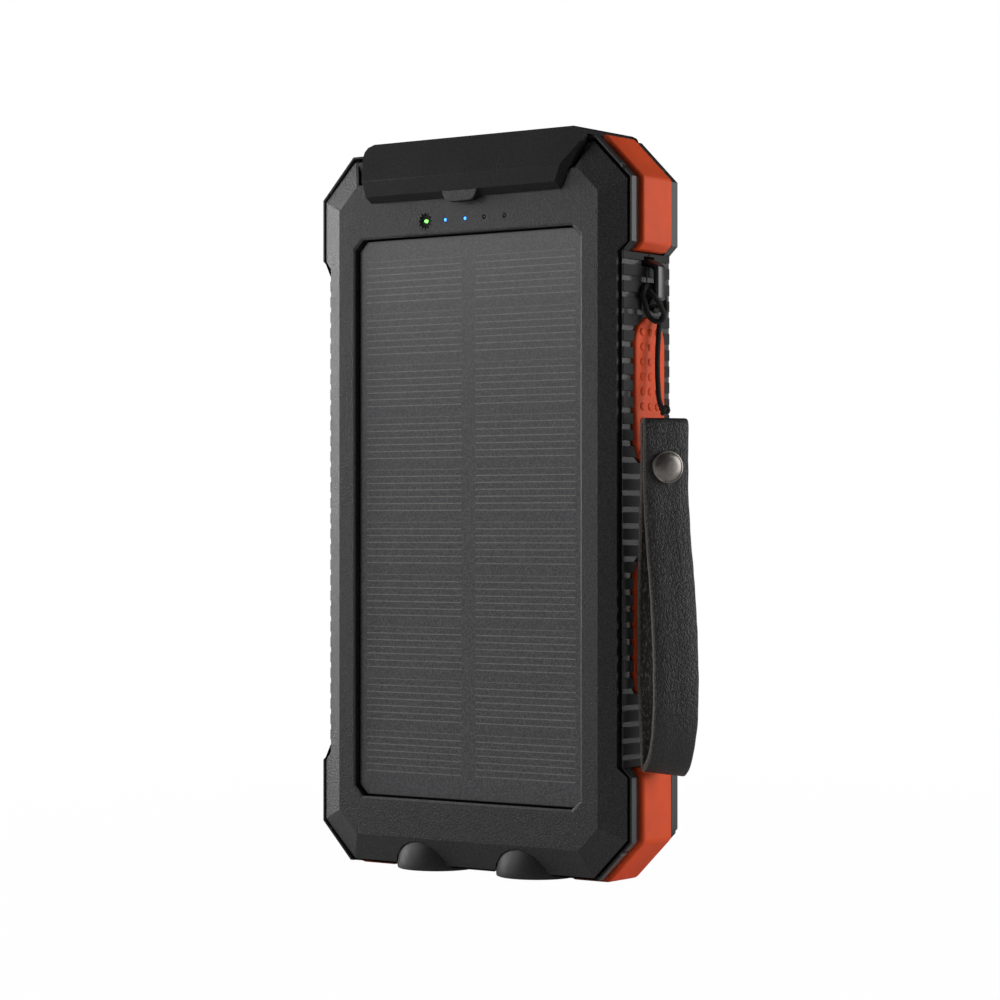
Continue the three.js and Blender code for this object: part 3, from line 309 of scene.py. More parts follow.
def smooth_line(points, steps, closed=False, parts=24):
    """Even points on a centripetal curve through the given ones."""
    points = [Vector(p) for p in points]
    if closed:
        points = [points[-1]] + points + points[:2]
    else:
        points = [2 * points[0] - points[1]] + points + [2 * points[-1] - points[-2]]
    fine = []
    for a, b, c, d in zip(points, points[1:], points[2:], points[3:]):
        t = [0.0]
        for p, q in ((a, b), (b, c), (c, d)):
            t.append(t[-1] + max((q - p).length, 1e-9) ** 0.5)
        for i in range(parts):
            u = t[1] + (t[2] - t[1]) * i / parts
            ab = a.lerp(b, (u - t[0]) / (t[1] - t[0]))
            bc = b.lerp(c, (u - t[1]) / (t[2] - t[1]))
            cd = c.lerp(d, (u - t[2]) / (t[3] - t[2]))
            abc = ab.lerp(bc, (u - t[0]) / (t[2] - t[0]))
            bcd = bc.lerp(cd, (u - t[1]) / (t[3] - t[1]))
            fine.append(abc.lerp(bcd, (u - t[1]) / (t[2] - t[1])))
    fine.append(points[1].copy() if closed else points[-2].copy())
    lengths = [0.0]
    for p, q in zip(fine, fine[1:]):
        lengths.append(lengths[-1] + (q - p).length)
    line, k = [], 0
    for i in range(steps if closed else steps + 1):
        goal = lengths[-1] * i / steps
        while k < len(fine) - 2 and lengths[k + 1] < goal:
            k += 1
        share = (goal - lengths[k]) / max(lengths[k + 1] - lengths[k], 1e-12)
        line.append(fine[k].lerp(fine[k + 1], min(max(share, 0), 1)))
    return line


def carried_frames(line):
    """The direction and two square directions at each point, without twist."""
    frames = []
    side = None
    for i, point in enumerate(line):
        before, after = line[max(i - 1, 0)], line[min(i + 1, len(line) - 1)]
        ahead = (after - before).normalized()
        if side is None:
            side = ahead.orthogonal().normalized()
        side = (side - ahead * side.dot(ahead)).normalized()
        frames.append((point, side, ahead.cross(side)))
    return frames


def obround_ring(centre, side, radius, reach, steps=20):
    """Points round a long slot shape in an upright plane that faces sideways."""
    ring = []
    for i in range(steps * 2):
        angle = math.tau * (i + 0.5) / (steps * 2)
        lift = reach if math.sin(angle) > 0 else -reach
        ring.append(centre + Vector((0, side * radius * math.cos(angle),
                                     lift + radius * math.sin(angle))))
    return ring


# Settings


def color(label, text, value):
    return FloatVectorProperty(name=label, description=text, default=value, size=3,
                               subtype="COLOR", min=0, max=1)


def length(label, text, value):
    return FloatProperty(name=label, description=text, default=value, subtype="DISTANCE",
                         unit="LENGTH", min=0, precision=5)


class HousingSettings(PropertyGroup):
    edge: length("Edge rounding", "Rounding of the covers' edges", 0.2 * MM)
    frame_edge: length("Frame rounding", "Rounding of the frames' edges", 0.12 * MM)
    rubber_edge: length("Rubber rounding", "Rounding of the bumpers' edges", 0.7 * MM)
    flap_edge: length("Flap rounding", "Rounding of the port flap's edges", 0.2 * MM)
    grain: length("Grain", "Size of the covers' spark-eroded grain", 0.32 * MM)
    shell: color("Covers", "Colour of the grained covers", (0.0062, 0.0062, 0.0064))
    ribs: color("Frames", "Colour of the ribbed frames", (0.014, 0.014, 0.0145))
    red: color("Red rubber", "Colour of the bumpers and buttons", (0.69, 0.075, 0.016))
    flap: color("Flap", "Colour of the port flap's rubber", (0.0042, 0.0042, 0.0044))
    lug: color("Lug", "Colour of the glossy strap lug", (0.010, 0.010, 0.011))


class PanelSettings(PropertyGroup):
    ground: color("Cells", "Colour of the solar cells", (0.052, 0.052, 0.056))
    border: color("Border", "Colour of the printed border", (0.008, 0.008, 0.009))
    line: color("Conductors", "Colour of the fine printed conductors", (0.21, 0.195, 0.175))
    pitch: length("Line pitch", "Distance between conductors of a group", 1.34 * MM)
    group: length("Group pitch", "Distance between groups of conductors", 10.3 * MM)
    line_width: length("Line width", "Width of a printed conductor", 0.22 * MM)
    lines: IntProperty(name="Lines", description="Conductors in a group", default=7, min=1)


class StrapSettings(PropertyGroup):
    thickness: length("Leather", "Thickness of the leather", 1.22 * MM)
    width: length("Width", "Width of the strap", 8.8 * MM)
    leather: color("Leather", "Colour of the grain side", (0.009, 0.0087, 0.0088))
    suede: color("Suede", "Colour of the flesh side", (0.0045, 0.0038, 0.0032))
    cut: color("Cut edge", "Colour of the fuzzy cut edge", (0.050, 0.043, 0.036))
    cord_width: length("Cord", "Diameter of the cord", 1.04 * MM)
    cord: color("Cord", "Colour of the cord", (0.002, 0.0018, 0.0016))
    rivet: color("Rivet", "Colour of the rivet's plating", (0.2, 0.186, 0.172))


class LightSettings(PropertyGroup):
    green: color("Sun light", "Colour of the light in the sun mark", (0.20, 0.85, 0.15))
    blue: color("Charge light", "Colour of the lit charge lights", (0.05, 0.27, 0.95))
    glow: FloatProperty(name="Glow", description="Strength of the lit lights", default=3.0, min=0)


class StageSettings(PropertyGroup):
    floor: color("Floor", "Colour of the floor", (0.86, 0.86, 0.86))
    strip: FloatProperty(name="Strip", description="Power of the narrow lamp on the left",
                         default=3.1, min=0, unit="POWER")
    key: FloatProperty(name="Key", description="Power of the wide lamp in front on the left",
                       default=2.6, min=0, unit="POWER")
    fill: FloatProperty(name="Fill", description="Power of the lamp on the right", default=4.4,
                        min=0, unit="POWER")
    air: FloatProperty(name="Air", description="Strength of the surrounding light",
                       default=0.08, min=0)


SETTINGS = {
    "bank_housing": HousingSettings,
    "bank_panel": PanelSettings,
    "bank_strap": StrapSettings,
    "bank_lights": LightSettings,
    "bank_stage": StageSettings,
}


# Finishes

KEPT = {}

# Where a finish changes. For the row of recessed marks over the window, whose insides get a painted
# black shade: its half width, its heights and its depths under the cover's face. For the frames:
# how far out the ribs' crests (painted shade), the grooves' bottoms between them (painted
# highlight) and the whole waist are.
MARK_HALF = 15 * MM
MARK_HEIGHTS = (124 * MM, 129.5 * MM)
MARK_DEPTHS = (0.1 * MM, 2 * MM)
RIB_TOPS = (35.5 * MM, 35.9 * MM)
RIB_FLOORS = (34.9 * MM, 35.3 * MM)
WAIST_HALF = 36 * MM

# The panel's print: its first line's height, how far under it the lines start and end, the two
# columns across, the border's inner half width, and its width at the foot and at the head.
PRINT_TOP = 119.7 * MM
PRINT_REACH = (-0.4 * MM, 101.2 * MM)
PRINT_COLUMNS = ((-25.1 * MM, -1.6 * MM), (1.8 * MM, 25.3 * MM))
BORDER_HALF = 26.7 * MM
BORDER_FOOT, BORDER_HEAD = 0.2 * MM, 0.3 * MM


def finish_of(name):
    """Each finish is made once, when a piece first asks for it."""
    if name not in KEPT:
        KEPT[name] = FINISHES[name](bpy.context.scene).material
    return KEPT[name]


def shell_finish(scene):
    """Grained black plastic: low bumps, paler where they are high, with painted glints for the
    sparkle of the grain and a painted black shade inside the recessed marks.
    """
    look = scene.bank_housing
    finish = Finish("grained_black_plastic", look.shell, 0.5)
    place = finish.place()
    fine = finish.grain(place, 1 / look.grain, 2.0, 0.7)
    broad = finish.grain(place, 60, 3.0)
    spark = finish.cells(place, 0.9 / look.grain).ramp(0.3, 0.12)
    dark = [c * 0.2 for c in look.shell]
    pale = [c * 2.6 + 0.006 for c in look.shell]
    tone = finish.blend(fine.ramp(0.36, 0.64), dark, pale)
    # Painted glints: pale grey specks that stand in for the sparkle of the grain.
    tone = finish.blend(spark * 0.36, tone, (0.12, 0.12, 0.122))
    x, y, z = finish.axes()
    # Painted black shade inside the recessed marks, deeper than the cover's face.
    shaded_recesses = y.within(*(COVER_LOW.y + depth for depth in MARK_DEPTHS), 0.04 * MM)
    shaded_recesses = shaded_recesses * x.within(ZERO.x - MARK_HALF, ZERO.x + MARK_HALF, 0.1 * MM)
    shaded_recesses = shaded_recesses * z.within(*MARK_HEIGHTS, 0.1 * MM)
    finish.feed("Base Color", finish.blend(shaded_recesses, tone, (0.002, 0.002, 0.002)))
    finish.feed("Roughness", broad * 0.10 + 0.32 + fine * 0.26 + shaded_recesses * 0.3)
    finish.feed("Normal", finish.bump(fine, 0.12 * MM, 1.0))
    return finish


def frame_finish(scene, name="moulded_black_plastic", gloss=0.5):
    """Moulded plastic: duller with a painted shade on the ribs' crests, glossier with a painted
    highlight in the grooves between them.
    """
    look = scene.bank_housing
    finish = Finish(name, look.ribs, 0.42, Specular_IOR_Level=gloss)
    place = finish.place()
    fine = finish.grain(place, 5200, 2.0)
    broad = finish.grain(place, 120, 4.0)
    across = (finish.axes()[0] - ZERO.x).math("ABSOLUTE")
    shaded_crests = across.within(*RIB_TOPS, 0.05 * MM)
    lit_grooves = across.within(*RIB_FLOORS, 0.05 * MM)
    tone = finish.mottle(broad.ramp(0.3, 0.75), look.ribs, 0.8, 1.25)
    # Painted shade on the ribs' crests.
    tone = finish.blend(shaded_crests, tone, [c * 0.5 for c in look.ribs])
    # Painted highlight in the grooves between the ribs.
    finish.feed("Base Color", finish.blend(lit_grooves, tone, (0.05, 0.05, 0.052)))
    finish.feed("Roughness", broad * 0.14 + 0.26 + shaded_crests * 0.3 - lit_grooves * 0.14)
    finish.feed("Normal", finish.bump(fine, 0.012 * MM, 0.5))
    return finish


def rib_finish(scene):
    """The frame's plastic with less gloss, for the ribs at the waist."""
    return frame_finish(scene, "ribbed_black_plastic", 0.24)


def red_finish(scene):
    look = scene.bank_housing
    finish = Finish("red_rubber", look.red, 0.6, Specular_IOR_Level=0.22)
    place = finish.place()
    fine = finish.grain(place, 4200, 2.0)
    broad = finish.grain(place, 90, 3.0)
    finish.feed("Base Color", finish.mottle(broad.ramp(0.3, 0.72), look.red, 0.9, 1.12))
    finish.feed("Roughness", broad * 0.14 + 0.5)
    finish.feed("Normal", finish.bump(fine, 0.02 * MM, 0.4))
    return finish


def flap_finish(scene):
    look = scene.bank_housing
    finish = Finish("black_rubber", look.flap, 0.56, Specular_IOR_Level=0.24)
    place = finish.place()
    fine = finish.grain(place, 2600, 2.0, 0.7)
    broad = finish.grain(place, 110, 4.0)
    finish.feed("Base Color", finish.mottle(fine.ramp(0.34, 0.68), look.flap, 0.3, 2.4))
    finish.feed("Roughness", broad * 0.12 + 0.46 + fine * 0.18)
    finish.feed("Normal", finish.bump(fine, 0.07 * MM, 0.9))
    return finish


def lug_finish(scene):
    finish = Finish("gloss_black_plastic", scene.bank_housing.lug, 0.3, Coat_Weight=0.2,
                    Coat_Roughness=0.2)
    broad = finish.grain(finish.place(), 400, 3.0)
    finish.feed("Roughness", broad * 0.15 + 0.26)
    return finish


def panel_finish(scene):
    """Dark cells under clear film, with two columns of grouped fine conductors."""
    look = scene.bank_panel
    finish = Finish("solar_cells", look.ground, 0.35, Coat_Weight=0.25, Coat_Roughness=0.22)
    place = finish.place()
    x, z = finish.axes()[::2]
    low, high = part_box("solar_panel")
    across = x - (low.x + high.x) / 2
    drop = PRINT_TOP - z
    within = drop % look.group
    near = ((within + look.pitch / 2) % look.pitch) - look.pitch / 2
    thick = look.line_width / 2 * (0.85 + finish.grain(place, 900, 1.0) * 0.4)
    line = 1 - (near.math("ABSOLUTE") / thick).ramp(0.55, 1.15)
    last = (look.lines - 0.5) * look.pitch
    line = line * (1 - within.above(last, 0.02 * MM)) * drop.within(*PRINT_REACH, 0.02 * MM)
    first, second = [across.within(*column, 0.05 * MM) for column in PRINT_COLUMNS]
    inner = 1 - across.math("ABSOLUTE").above(BORDER_HALF, 0.06 * MM)
    inner = inner * z.within(low.z + BORDER_FOOT, high.z - BORDER_HEAD, 0.06 * MM)
    dashes = finish.grain(finish.place((1, 1, 0.25)), 1500, 2.0, 0.6)
    groups = finish.grain(finish.place((0.6, 1, 1)), 70, 2.0)
    bright = dashes.ramp(0.36, 0.62, 0.6, 1.0) * groups.ramp(0.3, 0.7, 0.8, 1.0)
    dust = finish.grain(place, 2600, 3.0, 0.7)
    ground = finish.mottle(dust.ramp(0.36, 0.68), look.ground, 0.45, 1.6)
    speck = finish.cells(place, 1500).ramp(0.12, 0.03) * dust.ramp(0.5, 0.62)
    ground = finish.blend(speck * 0.6, ground, (0.16, 0.155, 0.15))
    tone = finish.blend(line * (first + second) * bright, ground, look.line)
    finish.feed("Base Color", finish.blend(inner, look.border, tone))
    finish.feed("Roughness", 0.30 + dust * 0.2)
    finish.feed("Normal", finish.bump(dust, 0.03 * MM, 0.7))
    return finish


def seal_finish(scene):
    finish = Finish("grey_seal", (0.06, 0.06, 0.062), 0.75)
    broad = finish.grain(finish.place(), 800, 3.0)
    finish.feed("Base Color", finish.blend(broad, (0.035, 0.035, 0.036), (0.09, 0.09, 0.092)))
    finish.feed("Roughness", broad * 0.2 + 0.62)
    return finish


def metal_finish(name, tone, roughness, scratch):
    """Brushed metal, with its scratches drawn out along one axis."""
    def make(scene):
        finish = Finish(name, tone, roughness, Metallic=1.0)
        brushed = finish.grain(finish.place(scratch), 900, 4.0, 0.6)
        spots = finish.grain(finish.place(), 260, 3.0)
        finish.feed("Base Color", finish.mottle(spots.ramp(0.3, 0.7), tone, 0.85, 1.15))
        finish.feed("Roughness", brushed * 0.22 + (roughness - 0.1))
        finish.feed("Normal", finish.bump(brushed, 0.006 * MM, 0.4))
        return finish
    return make


def board_finish(scene):
    """Solder mask over thin copper tracks."""
    finish = Finish("solder_mask", (0.02, 0.16, 0.07), 0.35, Coat_Weight=0.3)
    place = finish.place()
    tracks = finish.cells(place, 420, "DISTANCE_TO_EDGE").ramp(0.05, 0.02)
    blot = finish.grain(place, 300, 2.0)
    green = finish.blend(blot, (0.010, 0.10, 0.04), (0.02, 0.17, 0.07))
    finish.feed("Base Color", finish.blend(tracks * 0.8, green, (0.05, 0.28, 0.11)))
    finish.feed("Roughness", blot * 0.2 + 0.25)
    finish.feed("Normal", finish.bump(tracks, 0.03 * MM, 0.5))
    return finish


def plain_finish(name, tone, roughness, spread=0.2, size=500):
    """A fine mottle with a little texture, for small pieces."""
    def make(scene):
        finish = Finish(name, tone, roughness)
        fine = finish.grain(finish.place(), size, 3.0)
        finish.feed("Base Color", finish.mottle(fine.ramp(0.3, 0.7), tone, 1 - spread, 1 + spread))
        finish.feed("Roughness", fine * 0.16 + (roughness - 0.08))
        finish.feed("Normal", finish.bump(fine, 0.01 * MM, 0.3))
        return finish
    return make


def battery_finish(scene):
    """Crinkled pouch foil."""
    finish = Finish("pouch_foil", (0.42, 0.44, 0.46), 0.35, Metallic=0.9)
    crease = finish.grain(finish.place((1, 1, 0.4)), 260, 4.0, 0.6, 0.8)
    finish.feed("Roughness", crease * 0.3 + 0.22)
    finish.feed("Normal", finish.bump(crease, 0.12 * MM, 0.5))
    return finish


def foam_finish(scene):
    finish = Finish("open_foam", (0.03, 0.03, 0.03), 0.95)
    cells = finish.cells(finish.place(), 2200)
    finish.feed("Base Color", finish.blend(cells.ramp(0.1, 0.6), (0.01, 0.01, 0.01),
                                           (0.05, 0.05, 0.05)))
    finish.feed("Normal", finish.bump(cells, 0.1 * MM, 0.7))
    return finish


def leather_finish(scene):
    """Grain leather: pebbles of uneven size, parted by fine creases."""
    look = scene.bank_strap
    finish = Finish("grain_leather", look.leather, 0.5, Specular_IOR_Level=0.5)
    place = finish.place()
    warp = finish.grain(place, 420, 3.0, 0.6, output="Color")
    bent = finish.vector("MULTIPLY_ADD", warp, (1.6 * MM, 1.6 * MM, 1.6 * MM), place)
    stretched = finish.vector("MULTIPLY", bent, (1.0, 1.0, 0.6))
    large = finish.cells(stretched, 1150, "DISTANCE_TO_EDGE").ramp(0.0, 0.2)
    small = finish.cells(stretched, 2300, "DISTANCE_TO_EDGE").ramp(0.0, 0.25)
    fine = finish.grain(place, 3600, 3.0, 0.6)
    broad = finish.grain(place, 130, 3.0)
    height = large * 0.4 + small * 0.3 + fine * 0.4 + broad * 0.6
    worn = (height - broad * 0.6).ramp(0.25, 1.0)
    finish.feed("Base Color", finish.mottle(worn, look.leather, 0.5, 1.6))
    finish.feed("Roughness", 0.38 + broad * 0.16 + fine * 0.16)
    finish.feed("Normal", finish.bump(height, 0.14 * MM, 0.85))
    return finish


def suede_finish(scene):
    look = scene.bank_strap
    finish = Finish("flesh_side", look.suede, 0.95, Sheen_Weight=0.12, Sheen_Roughness=0.6)
    fibre = finish.grain(finish.place((1, 1, 0.35)), 3000, 4.0, 0.7, 0.5)
    tuft = finish.grain(finish.place(), 900, 3.0)
    finish.feed("Base Color", finish.blend(fibre.ramp(0.5, 0.64), look.suede,
                                           (0.105, 0.09, 0.072)))
    finish.feed("Normal", finish.bump(fibre + tuft, 0.14 * MM, 0.9))
    return finish


def cut_finish(scene):
    look = scene.bank_strap
    finish = Finish("cut_leather_edge", look.cut, 0.95, Sheen_Weight=0.3, Sheen_Roughness=0.5)
    fibre = finish.grain(finish.place(), 3400, 4.0, 0.7)
    finish.feed("Base Color", finish.blend(fibre.ramp(0.36, 0.7), [c * 0.45 for c in look.cut],
                                           (0.15, 0.135, 0.115)))
    finish.feed("Normal", finish.bump(fibre, 0.12 * MM, 0.8))
    return finish


def cord_finish(scene):
    look = scene.bank_strap
    finish = Finish("twisted_cord", look.cord, 0.88, Sheen_Weight=0.05, Sheen_Roughness=0.5)
    fibre = finish.grain(finish.place(), 4200, 3.0, 0.7)
    # The paler fibre flecks in the colour are painted highlights on the black cord.
    finish.feed("Base Color", finish.blend(fibre.ramp(0.42, 0.72), look.cord,
                                           (0.016, 0.014, 0.012)))
    finish.feed("Normal", finish.bump(fibre, 0.06 * MM, 0.7))
    return finish


def rivet_finish(scene):
    look = scene.bank_strap
    finish = Finish("gunmetal", look.rivet, 0.45, Metallic=1.0)
    place = finish.place()
    cloud = finish.grain(place, 500, 4.0, 0.6)
    fine = finish.grain(place, 4000, 2.0)
    finish.feed("Base Color", finish.mottle(cloud.ramp(0.3, 0.7), look.rivet, 0.8, 1.25))
    finish.feed("Roughness", cloud * 0.12 + 0.3)
    finish.feed("Normal", finish.bump(fine, 0.01 * MM, 0.5))
    return finish


def lens_finish(scene):
    """Clear plastic, a little dull in places."""
    finish = Finish("clear_lens", (0.92, 0.95, 0.97), 0.08, Transmission_Weight=0.9, IOR=1.5)
    cloud = finish.grain(finish.place(), 900, 2.0)
    finish.feed("Roughness", cloud * 0.1 + 0.03)
    return finish


def light_finish(name, pick, lit):
    def make(scene):
        look = scene.bank_lights
        tone = getattr(look, pick) if lit else (0.035, 0.035, 0.04)
        finish = Finish(name, tone, 0.25, Coat_Weight=0.4)
        if lit:
            finish.feed("Emission Color", (*tone, 1))
            finish.feed("Emission Strength", look.glow)
        cloud = finish.grain(finish.place(), 2000, 2.0)
        finish.feed("Roughness", cloud * 0.2 + 0.15)
        return finish
    return make


FINISHES = {
    "shell": shell_finish,
    "frame": frame_finish,
    "ribs": rib_finish,
    "panel": panel_finish,
    "seal": seal_finish,
    "red_rubber": red_finish,
    "flap_rubber": flap_finish,
    "board": board_finish,
    "steel": metal_finish("port_steel", (0.60, 0.60, 0.62), 0.3, (1, 1, 0.05)),
    "nickel": metal_finish("nickel_strip", (0.62, 0.60, 0.56), 0.32, (0.1, 1, 1)),
    "dark_steel": metal_finish("dark_plated_steel", (0.16, 0.15, 0.145), 0.36, (1, 0.1, 1)),
    "lug": lug_finish,
    "tongue": plain_finish("white_tongue", (0.80, 0.80, 0.78), 0.45, 0.06),
    "reflector": plain_finish("satin_black_torch", (0.012, 0.012, 0.0125), 0.52, 0.6, 3200),
    "lens": lens_finish,
    "torch_led": plain_finish("phosphor", (0.85, 0.72, 0.25), 0.5, 0.1, 2000),
    "light_green": light_finish("green_light", "green", True),
    "light_blue": light_finish("blue_light", "blue", True),
    "light_off": light_finish("dark_light", "blue", False),
    "battery": battery_finish,
    "foam": foam_finish,
    "flex": plain_finish("amber_film", (0.40, 0.14, 0.02), 0.35, 0.25),
    "leather": leather_finish,
    "suede": suede_finish,
    "cut_leather": cut_finish,
    "cord": cord_finish,
    "rivet": rivet_finish,
}


# Operators


# The solved camera: its focal length and rise in the photograph's pixels, its place in the
# drawing's millimetres, its turn in degrees, and the nearest thing that it sees in metres.
PHOTO_PIXELS = 1000
FOCAL_PIXELS = 2989.158
RISE_PIXELS = 26.651
SENSOR = 36
CAMERA_PLACE = (347.50, -463.91, 67.27)
CAMERA_TURN = 36.283
CAMERA_NEAR = 0.01


class CameraOperator(Operator):
    """Sets the camera to the photograph's viewpoint"""
    bl_idname = "powerbank.camera"
    bl_label = "Camera"

    def execute(self, context):
        data = bpy.data.cameras.new("camera")
        data.sensor_width = SENSOR
        data.lens = FOCAL_PIXELS / PHOTO_PIXELS * SENSOR
        data.shift_y = RISE_PIXELS / PHOTO_PIXELS
        data.clip_start = CAMERA_NEAR
        camera = bpy.data.objects.new("camera", data)
        context.scene.collection.objects.link(camera)
        camera.location = spot(*CAMERA_PLACE)
        camera.rotation_euler = (math.pi / 2, 0, math.radians(CAMERA_TURN))
        context.scene.camera = camera
        return {"FINISHED"}


# The cord's route from under the lug's lower arm, twice round it and down to the knot.
CORD_ROUTE = [
    (36.5, 8.4, 108.4), (36.45, 9.3, 108.1), (36.4, 10.35, 108.3), (36.4, 11.0, 109.2),
    (36.4, 10.8, 110.35), (36.4, 9.85, 111.15), (36.4, 8.6, 111.3), (36.5, 7.5, 111.4),
    (36.85, 6.7, 111.45), (37.5, 6.35, 111.2), (38.4, 6.35, 110.45), (39.05, 6.6, 109.45),
    (39.5, 7.05, 108.3), (39.65, 7.5, 107.2), (39.35, 7.7, 106.3), (38.65, 7.5, 105.9),
    (37.85, 7.15, 106.0), (37.15, 6.75, 106.6), (36.65, 6.4, 107.7), (36.4, 6.05, 109.2),
    (36.35, 5.55, 110.9), (36.4, 5.9, 112.25), (36.5, 7.1, 112.8), (36.55, 8.7, 112.75),
    (36.55, 10.4, 112.55), (36.65, 11.75, 111.6), (36.9, 12.15, 110.0), (37.4, 11.8, 108.5),
    (37.65, 10.8, 107.5), (37.7, 9.9, 106.8), (37.75, 9.2, 105.9), (37.85, 8.6, 104.7),
    (38.1, 8.0, 102.7), (38.2, 7.6, 100.2), (38.25, 7.45, 97.7), (38.5, 7.15, 95.4),
    (38.85, 6.8, 93.5), (39.3, 6.3, 91.6), (40.3, 5.45, 89.85),
]
CORD_STEPS, CORD_TURNS, STRANDS = 260, 34, 3

# How deep the grooves between the strands are, as a share of the cord's radius.
GROOVE_SHARE = 0.20

# The ball knot: one three-lobed loop of cord round a core, leant over. Its depth is a share.
KNOT_SCALE, KNOT_LEAN, KNOT_DEPTH = 0.235 * MM, 0.7, 1.6
KNOT_CORD, KNOT_CORE = 0.46 * MM, 0.5 * MM
KNOT_STEPS, KNOT_TURNS, KNOT_POINTS = 120, 9, 12
KNOT_NEAR = 0.02 * MM


def twisted_rings(line, radius, strands, turns, points=18):
    """Rings of a laid cord: round strands that wind about its middle."""
    rings = []
    count = len(line) - 1
    for i, (centre, side, up) in enumerate(carried_frames(line)):
        ring = []
        for k in range(points):
            angle = math.tau * k / points
            phase = strands / 2 * (angle - math.tau * turns * i / count)
            reach = radius * (1 - GROOVE_SHARE + GROOVE_SHARE * abs(math.cos(phase)) ** 0.8)
            ring.append(centre + (side * math.cos(angle) + up * math.sin(angle)) * reach)
        rings.append(ring)
    return rings


class CordOperator(Operator):
    """Makes the twisted cord with its hitch round the lug, and the knot"""
    bl_idname = "powerbank.cord"
    bl_label = "Cord and Knot"

    def execute(self, context):
        look = context.scene.bank_strap
        radius = look.cord_width / 2
        line = smooth_line([spot(*point) for point in CORD_ROUTE], CORD_STEPS)
        form = bmesh.new()
        skinned(form, twisted_rings(line, radius, STRANDS, CORD_TURNS))
        bmesh.ops.recalc_face_normals(form, faces=form.faces)
        cord = finished(form, "twisted_cord", ["cord"], "housing", "lanyard_cord", 50)
        knot = self.knot()
        return {"FINISHED"}

    @staticmethod
    def knot():
        centre = middle_of("cord_knot")
        lean = Matrix.Rotation(KNOT_LEAN, 3, "X")
        loop = []
        for i in range(KNOT_STEPS):
            t = math.tau * i / KNOT_STEPS
            loop.append(centre + lean @ Vector((
                math.sin(t) + 2 * math.sin(2 * t),
                math.cos(t) - 2 * math.cos(2 * t),
                -KNOT_DEPTH * math.sin(3 * t))) * KNOT_SCALE)
        form = bmesh.new()
        rings = twisted_rings(loop + loop[:1], KNOT_CORD, STRANDS, KNOT_TURNS, KNOT_POINTS)
        skinned(form, rings, capped=False)
        bmesh.ops.remove_doubles(form, verts=form.verts, dist=KNOT_NEAR)
        bmesh.ops.recalc_face_normals(form, faces=form.faces)
        bmesh.ops.create_icosphere(form, subdivisions=2, radius=KNOT_CORE,
                                   matrix=Matrix.Translation(centre))
        return finished(form, "ball_knot", ["cord"], "housing", "cord_knot", 60)


# The way across the strap's loop, seen from above, and the way along its width.
STRAP_TURN = math.radians(55)
ACROSS = Vector((math.sin(STRAP_TURN), -math.cos(STRAP_TURN), 0))
ALONG = ACROSS.cross(Vector((0, 0, 1)))

# Outer line of the strap's loop, as shares of its bulge and of its length.
STRAP_LINE = [
    (0, 0), (0.145, 0.005), (0.2, 0.024), (0.19, 0.09), (0.183, 0.15), (0.2, 0.21), (0.37, 0.33),
    (0.66, 0.464), (0.87, 0.6), (0.955, 0.72), (0.95, 0.79), (0.87, 0.86), (0.72, 0.91),
    (0.48, 0.957), (0.2, 0.985), (-0.08, 0.998), (-0.2, 0.99), (-0.25, 0.955), (-0.28, 0.88),
    (-0.35, 0.8), (-0.44, 0.74), (-0.45, 0.629),
    (-0.412, 0.464), (-0.305, 0.3), (-0.22, 0.18), (-0.19, 0.09), (-0.2, 0.024), (-0.145, 0.005),
]

# In the drawing's millimetres: the middle of the strap's top, the loop's bulge and length, and the
# rounding of the strip's edges, with the place of the point between its ends. The edges wave a
# little: how far, and how often round the loop. A row of points is a third of the way to them, and
# what is nearer to an edge than CUT_DEPTH shows the cut.
STRAP_TOP = (41.5, 4.9, 87.6)
STRAP_BULGE, STRAP_LENGTH = 6.55, 66.8
STRAP_SOFT, STRAP_NICK = 0.28, (0.08, 0.1)
STRAP_WAVES = ((0.05, 9), (0.03, 23))
STRAP_STEPS = 220
STRAP_MIDDLE_SHARE = 0.33
CUT_DEPTH = 0.2

# The strap's foot slants: where that starts, over what height, and its share of the width.
FOOT_START, FOOT_SPAN = 56, 8
FOOT_ACROSS, FOOT_DROP = 0.1, 0.143

# The rivet: its place below the strap's top, the leather's face there, and both ends' profiles,
# as radius and height over the rivet's seat.
RIVET_DROP = 9.2
RIVET_FACE, RIVET_PROUD = 1.245, 0.3
RIVET_STEPS = 72
RIVET_DOME = [
    (0, -0.25), (2.6, -0.25), (2.95, -0.1), (3.06, 0.1), (3.0, 0.28), (2.84, 0.34), (2.74, 0.3),
    (2.6, 0.45), (2.2, 0.64), (1.6, 0.8), (0.8, 0.9), (0, 0.93)]
RIVET_WASHER = [
    (0, -0.25), (1.75, -0.25), (1.98, -0.1), (2.0, 0.1), (1.85, 0.28), (1.2, 0.34), (1.0, 0.22),
    (0, 0.18)]


def strap_spot(u, v, w=0.0):
    """A place on the strap in millimetres: across the loop, above its top, along its width."""
    return spot(*STRAP_TOP) + (ACROSS * u + Vector((0, 0, v)) + ALONG * w) * MM


